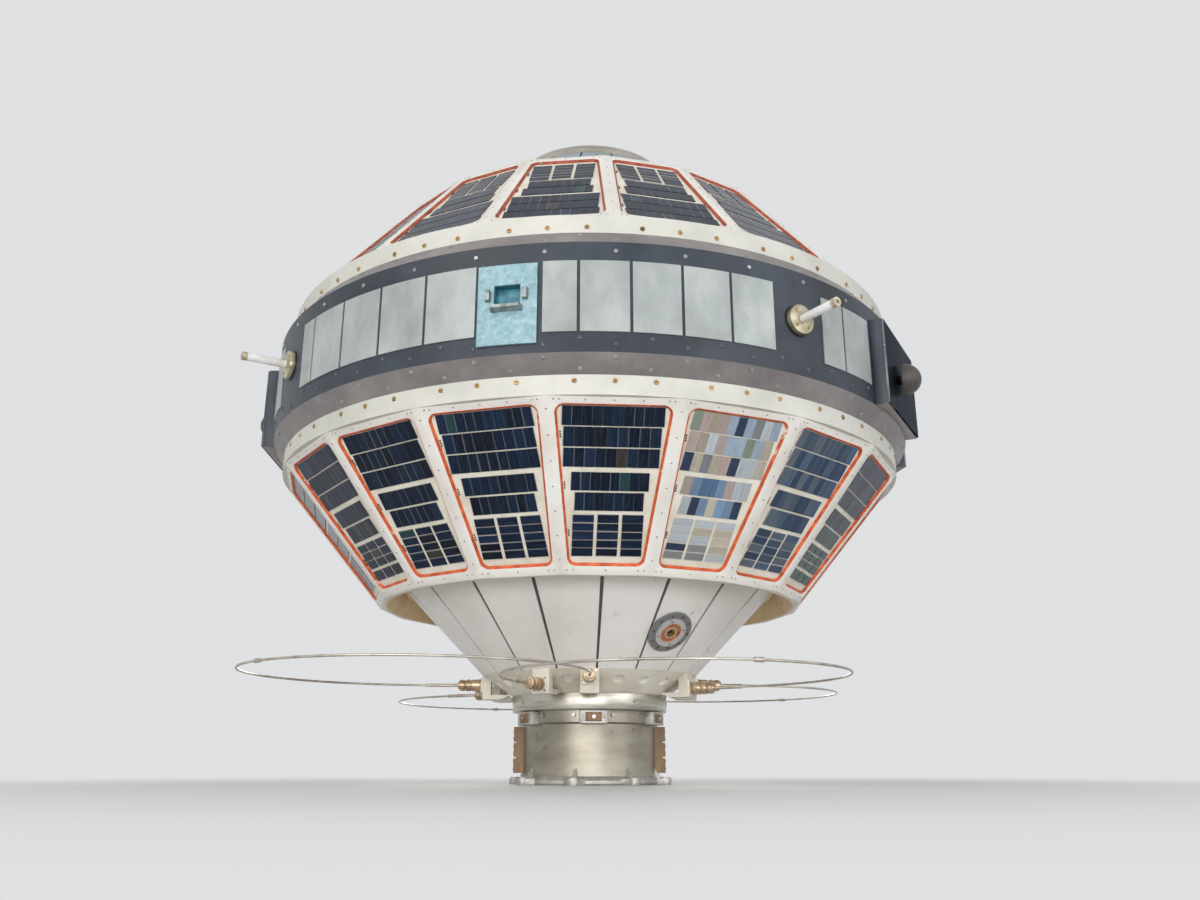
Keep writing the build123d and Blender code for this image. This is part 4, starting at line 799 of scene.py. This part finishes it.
# Fasteners of the white flange rings, the chamfers and the band. A line has its first azimuth and its height
# in metres, or on a chamfer its share of the way across.
rings = dict(
    flangeRadius=0.362, flangeHalf=0.0768, flangeSteps=(-5.8, 0.0, 5.9), flangeScrew=0.0024,
    socketOut=0.0008, socket=0.0011, rivet=0.0023, lineCount=36,
    chamferHalf=0.0545, chamferRise=0.0165, chamferRun=0.013,
    chamferLines=((3.5, 0.24), (-1.5, 0.74)),
    bandScrew=0.0021, bandScrewLine=(3.5, 0.4705), bandRivetLines=((3.5, 0.3790), (-1.5, 0.3850)),
    boxTurns=(61.2, 98.5, 180.0, 236.0, 273.0), boxHalfTurn=10.6,
)


def chamferPlace(side, azimuth, share):
    radius = body["bandRadius"] - rings["chamferRun"] * share
    height = body["mid"] + side * (rings["chamferHalf"] + rings["chamferRise"] * share)
    lift = degrees(atan2(rings["chamferRun"], rings["chamferRise"]))
    return facing(radius, azimuth, height, side * lift)


flangeScrews, flangeSockets, chamferRivets = [], [], []
for side, turn in ends.values():
    height = body["mid"] + side * rings["flangeHalf"]
    for azimuth in around(body["sides"], turn):
        for step in rings["flangeSteps"]:
            place = facing(rings["flangeRadius"], azimuth + step, height)
            flangeScrews.append(sized(place, rings["flangeScrew"]))
            socketPlace = place @ shift(0, 0, rings["socketOut"])
            flangeSockets.append(sized(socketPlace, rings["socket"], False))
    for first, share in rings["chamferLines"]:
        for azimuth in around(rings["lineCount"], first):
            chamferRivets.append(sized(chamferPlace(side, azimuth, share), rings["rivet"]))
scatterPiece("flangeScrews", flatScrew, flangeScrews, "brassScrew")
scatterPiece("flangeSockets", domeRivet, flangeSockets, "brownScrew")
scatterPiece("chamferRivets", domeRivet, chamferRivets, "greyRivet")


def clearOfBoxes(place):
    azimuth = degrees(atan2(place.translation.x, -place.translation.y))
    half = rings["boxHalfTurn"]
    return all(abs((azimuth - turn + 180) % 360 - 180) > half for turn in rings["boxTurns"])


bandScrews, bandRivets = [], []
for step in around(rings["lineCount"]):
    first, height = rings["bandScrewLine"]
    bandScrews.append(sized(facing(body["bandRadius"], first + step, height), rings["bandScrew"]))
    for first, height in rings["bandRivetLines"]:
        bandRivets.append(sized(facing(body["bandRadius"], first + step, height), rings["rivet"]))
bandScrews = [place for place in bandScrews if clearOfBoxes(place)]
bandRivets = [place for place in bandRivets if clearOfBoxes(place)]
scatterPiece("bandScrews", flatScrew, bandScrews, "steelScrew")
scatterPiece("bandRivets", domeRivet, bandRivets, "slateRivet")

# Screws on the tan lips.
lipHeads = dict(count=42, firstTurn=4, radius=0.2155, out=0.0025, screw=0.0021)
lipScrews = []
for side, turn in ends.values():
    for azimuth in around(lipHeads["count"], turn + lipHeads["firstTurn"]):
        place = conePlace(side, azimuth, lipHeads["radius"]) @ shift(0, 0, lipHeads["out"])
        lipScrews.append(sized(place, lipHeads["screw"]))
scatterPiece("lipScrews", domeRivet, lipScrews, "brownScrew")

# White frames: small rivets down each rib and along both margins of each facet. Margins in mm.
rivets = dict(
    ribShares=(0.07, 0.21, 0.35, 0.49, 0.63, 0.77, 0.91), ribSink=0.00015, radius=0.00095,
    wideLine=3.2, wideSteps=(-0.88, -0.80, -0.42, 0.0, 0.42, 0.80, 0.88),
    narrowLine=5.2, narrowSteps=(-0.86, -0.72, 0.0, 0.72, 0.86),
)
cornerRun = body["wideRadius"] - body["narrowRadius"]
ribLift = degrees(atan2(cornerRun, slopeRise))


def facetHalf(along):
    flat = wideFlat - slopeRun * along / slopeMm
    return flat / mm * tan(radians(facetStep / 2))


ribRivets = []
marginLines = (
    (rivets["wideSteps"], rivets["wideLine"]),
    (rivets["narrowSteps"], slopeMm - rivets["narrowLine"]),
)
for side, azimuth in facets:
    for share in rivets["ribShares"]:
        radius = body["wideRadius"] - cornerRun * share - rivets["ribSink"]
        height = body["mid"] + side * (body["wideHalf"] + slopeRise * share)
        place = facing(radius, azimuth + facetStep / 2, height, side * ribLift)
        ribRivets.append(sized(place, rivets["radius"]))
    for steps, along in marginLines:
        for step in steps:
            local = shift(step * facetHalf(along) * mm, side * (along - slopeMm / 2) * mm, 0)
            ribRivets.append(sized(facetPlace(side, azimuth) @ local, rivets["radius"]))
scatterPiece("frameRivets", domeRivet, ribRivets, "paintedRivet")

# Boards: small dark terminal posts on the margin beside the rows. Steps and margins in mm.
posts = dict(
    shares=(0.17, 0.45, 0.72), steps=(-2.6, 0.0, 2.6), margin=7, fromRib=10.95,
    sink=0.003, size=(0.0007, 0.0010, 0.0009, 1),
)
boardPosts = []
for side, azimuth in facets:
    for share in posts["shares"]:
        for step in posts["steps"]:
            along = share * slopeMm + posts["margin"] + step
            x = posts["fromRib"] - facetHalf(along)
            local = shift(x * mm, side * (along - slopeMm / 2) * mm, -posts["sink"])
            boardPosts.append(facetPlace(side, azimuth) @ local @ Matrix.Diagonal(posts["size"]))
scatterPiece("boardPosts", hexNut, boardPosts, "apertureDark")

# Adapter: neck screws, saddle screws and pins, ring screws.
adapter = dict(
    saddles=6, saddleTurn=3.0, saddleHeight=0.070, saddleOut=0.0868, saddleScrew=0.0024,
    pinOut=0.086, pinStep=0.0115, pin=0.0013,
    neckStep=15.7, neckRadius=0.077, neckHeight=0.0725, neckScrew=0.0022,
    ringCount=8, ringTurn=-11.5, ringRadius=0.0885, ringHeight=0.0868, ringScrew=0.0019,
)
neckScrews, saddleScrews, saddlePins, ringScrews = [], [], [], []
for centre in around(adapter["saddles"], adapter["saddleTurn"]):
    for way in (-1, 1):
        azimuth = centre + way * adapter["neckStep"]
        place = facing(adapter["neckRadius"], azimuth, adapter["neckHeight"])
        neckScrews.append(sized(place, adapter["neckScrew"]))
    block = facing(adapter["saddleOut"], centre, adapter["saddleHeight"])
    saddleScrews.append(sized(block, adapter["saddleScrew"]))
    saddle = facing(adapter["pinOut"], centre, adapter["saddleHeight"])
    for way in (-1, 1):
        place = saddle @ shift(way * adapter["pinStep"], 0, 0)
        saddlePins.append(sized(place, adapter["pin"]))
for azimuth in around(adapter["ringCount"], adapter["ringTurn"]):
    place = facing(adapter["ringRadius"], azimuth, adapter["ringHeight"])
    ringScrews.append(sized(place, adapter["ringScrew"]))
scatterPiece("neckScrews", cheeseScrew, neckScrews, "steelScrew")
scatterPiece("saddleScrews", cheeseScrew, saddleScrews, "steelScrew")
scatterPiece("saddlePins", domeRivet, saddlePins, "steelScrew")
scatterPiece("ringScrews", flatScrew, ringScrews, "steelScrew")

# Antenna ring: pale backs set into its round holes.
ringHoles = dict(
    quarters=4, turns=(16.5, 32.5, 48.5, -12.5), ringRadius=0.108, height=0.1082,
    lift=-56.9, sink=0.0034, radius=0.0065, thick=0.0006,
)
holeBacks = bmesh.new()
for quarter in around(ringHoles["quarters"]):
    for turn in ringHoles["turns"]:
        hole = facing(ringHoles["ringRadius"], quarter + turn, ringHoles["height"], ringHoles["lift"])
        bmesh.ops.create_cone(
            holeBacks, cap_ends=True, segments=24, radius1=ringHoles["radius"], radius2=ringHoles["radius"],
            depth=ringHoles["thick"], matrix=hole @ shift(0, 0, -ringHoles["sink"]),
        )
finishPiece("holeBacks", holeBacks, "paleSkin")

# Feed flanges: four corner screws each. A loop has its first azimuth and its height.
feedHeads = dict(
    loops=((-90, 0.109), (90, 0.109), (-25, 0.102), (155, 0.102)), apart=90, radius=0.1254,
    corner=0.0064, screw=0.0013,
)
feedScrews = []
for first, height in feedHeads["loops"]:
    for azimuth in (first, first + feedHeads["apart"]):
        flange = facing(feedHeads["radius"], azimuth, height)
        for x in (-feedHeads["corner"], feedHeads["corner"]):
            for y in (-feedHeads["corner"], feedHeads["corner"]):
                feedScrews.append(sized(flange @ shift(x, y, 0), feedHeads["screw"]))
scatterPiece("feedScrews", flatScrew, feedScrews, "steelScrew")

# Detectors: ten dark screws round each flange, four small ones on the bright ring.
eyeHeads = dict(
    screws=10, screwAt=(0.0213, 0, 0.002), screw=0.0015,
    pins=4, pinTurn=20, pinAt=(0.0148, 0, 0.0034), pin=0.0011,
)
eyeScrews, eyePins = [], []
for eye in eyePlaces.values():
    for turn in around(eyeHeads["screws"]):
        place = eye @ spinAbout(turn) @ shift(*eyeHeads["screwAt"])
        eyeScrews.append(sized(place, eyeHeads["screw"]))
    for turn in around(eyeHeads["pins"], eyeHeads["pinTurn"]):
        place = eye @ spinAbout(turn) @ shift(*eyeHeads["pinAt"])
        eyePins.append(sized(place, eyeHeads["pin"]))
scatterPiece("eyeScrews", flatScrew, eyeScrews, "brownScrew")
scatterPiece("eyePins", domeRivet, eyePins, "brownScrew")

# Sensor window: a teal lining, open to the front.
liningSet = dict(
    turn=-11.65, height=0.428, sink=0.0023, size=(0.0246, 0.0206, 0.0070), wall=0.0004,
    frontFrom=0.9,
)
lining = bmesh.new()
bmesh.ops.create_cube(lining, size=1.0)
front = [face for face in lining.faces if face.normal.z > liningSet["frontFrom"]]
bmesh.ops.delete(lining, geom=front, context="FACES_ONLY")
bmesh.ops.scale(lining, vec=liningSet["size"], verts=lining.verts)
bmesh.ops.solidify(lining, geom=lining.faces[:], thickness=liningSet["wall"])
bmesh.ops.recalc_face_normals(lining, faces=lining.faces)
liningPlace = facing(body["bandRadius"], liningSet["turn"], liningSet["height"])
bmesh.ops.transform(lining, matrix=liningPlace @ shift(0, 0, -liningSet["sink"]), verts=lining.verts)
finishPiece("sensorLining", lining, "tealLining")

# Terminal strips: two rows of screws along the outer edge.
strips = dict(
    turns=(-88.0, 88.0), radius=0.086, count=6, lowest=0.0165, pitch=0.0082, halfApart=0.006,
    screw=0.0014,
)
stripScrews = []
for azimuth in strips["turns"]:
    for k in range(strips["count"]):
        height = strips["lowest"] + strips["pitch"] * k
        for way in (-1, 1):
            local = shift(way * strips["halfApart"], 0, 0)
            place = facing(strips["radius"], azimuth, height) @ local
            stripScrews.append(sized(place, strips["screw"]))
scatterPiece("stripScrews", flatScrew, stripScrews, "brassScrew")

# Rods: base screws, and a dark gasket round each base.
rodSet = dict(
    rods=4, rodTurn=32, height=0.427, baseOut=0.381,
    screws=4, screwTurn=45, screwAt=0.0105, screw=0.0016,
    gasketOut=0.3745, gasketFoot=0.0168, gasketTop=0.0164, gasketThick=0.0030,
)
rodScrews = []
gaskets = bmesh.new()
for azimuth in around(rodSet["rods"], rodSet["rodTurn"]):
    base = facing(rodSet["baseOut"], azimuth, rodSet["height"])
    for turn in around(rodSet["screws"], rodSet["screwTurn"]):
        place = base @ spinAbout(turn) @ shift(rodSet["screwAt"], 0, 0)
        rodScrews.append(sized(place, rodSet["screw"]))
    bmesh.ops.create_cone(
        gaskets, cap_ends=True, segments=48, depth=rodSet["gasketThick"],
        radius1=rodSet["gasketFoot"], radius2=rodSet["gasketTop"],
        matrix=facing(rodSet["gasketOut"], azimuth, rodSet["height"]),
    )
scatterPiece("rodScrews", flatScrew, rodScrews, "brassScrew")
finishPiece("rodGaskets", gaskets, "gasketBlack")
print("fasteners made")

# One wide floor, which fades to the pale tone that lies beyond it.
studio = dict(
    floorHalf=60.0, floorDrop=0.0002, floorNoise=(1.2, 4.0, 0.5), floorRough=0.8,
    floorTones=((0.3, (0.84, 0.84, 0.835)), (0.7, (0.86, 0.86, 0.855))),
    fadeFrom=0.25, fadeTo=1.1, paleTone=(0.875, 0.88, 0.885),
    worldTone=(0.93, 0.94, 0.95), worldLight=0.48,
)


def layFloor():
    shape = bmesh.new()
    bmesh.ops.create_grid(
        shape, x_segments=8, y_segments=8, size=studio["floorHalf"], matrix=shift(0, 0, -studio["floorDrop"]),
    )
    floor = addObject("floor", meshFrom("floor", shape))
    floor.data.materials.append(floorFinish())


def seenDirectly(tree):
    ray = tree.nodes.new("ShaderNodeLightPath")
    seen = reckon(tree, "MAXIMUM", ray.outputs["Is Camera Ray"], ray.outputs["Is Glossy Ray"])
    return reckon(tree, "MAXIMUM", seen, ray.outputs["Is Transmission Ray"])


def mixShaders(tree, factor, first, second, outputName):
    mix = tree.nodes.new("ShaderNodeMixShader")
    for source, socket in ((factor, 0), (first.outputs[0], 1), (second.outputs[0], 2)):
        tree.links.new(source, mix.inputs[socket])
    tree.links.new(mix.outputs[0], tree.nodes[outputName].inputs["Surface"])


# Pale floor: plain near the object, an even pale tone to the eye and in reflections further back.
def floorFinish():
    material, tree, shader = startMaterial("paleFloor")
    cloud = noiseFactor(tree, placeVector(tree), *studio["floorNoise"])
    tree.links.new(rampColour(tree, cloud, shades(studio["floorTones"])), shader.inputs["Base Color"])
    shader.inputs["Roughness"].default_value = studio["floorRough"]
    glow = tree.nodes.new("ShaderNodeEmission")
    glow.inputs["Color"].default_value = tone(*studio["paleTone"])
    back = tree.nodes.new("ShaderNodeMapRange")
    back.interpolation_type = "SMOOTHSTEP"
    back.inputs["From Min"].default_value = studio["fadeFrom"]
    back.inputs["From Max"].default_value = studio["fadeTo"]
    tree.links.new(distanceFrom(tree, (0, 0, 0)), back.inputs["Value"])
    paler = reckon(tree, "MULTIPLY", seenDirectly(tree), back.outputs["Result"])
    mixShaders(tree, paler, shader, glow, "Material Output")
    return material


def aimed(place, aim):
    return (Vector(aim) - Vector(place)).to_track_quat("-Z", "Y").to_euler()


def addLight(name, place, aim, size, energy, colour=(1.0, 1.0, 1.0)):
    light = bpy.data.lights.new(name, "AREA")
    light.shape = "RECTANGLE"
    light.size, light.size_y = size
    light.energy = energy
    light.color = colour
    lamp = addObject(name, light)
    lamp.location = place
    lamp.rotation_euler = aimed(place, aim)


layFloor()
# Lamps: place, aim, size, power and tint.
addLight("keyLight", (-1.7, -2.3, 2.2), (0, 0, 0.42), (1.8, 1.8), 22.0, (1.0, 0.985, 0.96))
addLight("fillLight", (2.2, -1.9, 0.9), (0, 0, 0.35), (1.6, 1.4), 17.0, (0.95, 0.975, 1.0))
addLight("lowLight", (-0.2, -2.4, 0.28), (0, 0, 0.26), (2.4, 0.55), 28.0)
addLight("backLight", (0, 2.3, 0.8), (0, 0, 0.45), (1.4, 0.9), 22.0)

world = bpy.data.worlds.new("studio")
bpy.context.scene.world = world
world.use_nodes = True
sky = world.node_tree
lit = sky.nodes["Background"]
lit.inputs["Color"].default_value = tone(*studio["worldTone"])
lit.inputs["Strength"].default_value = studio["worldLight"]
pale = sky.nodes.new("ShaderNodeBackground")
pale.inputs["Color"].default_value = tone(*studio["paleTone"])
mixShaders(sky, seenDirectly(sky), lit, pale, "World Output")

# Camera just above the floor, looking up at the body.
cameraSet = dict(place=(0.0, -1.22, 0.020), aim=(0.012, 0.0, 0.395), lens=30.8, sensor=36.0)
scene = bpy.context.scene
scene.view_settings.view_transform = "Standard"
camera = bpy.data.cameras.new("camera")
camera.sensor_width = cameraSet["sensor"]
camera.lens = cameraSet["lens"]
viewer = addObject("camera", camera)
viewer.location = cameraSet["place"]
viewer.rotation_euler = aimed(cameraSet["place"], cameraSet["aim"])
scene.camera = viewer
print("studio lit")
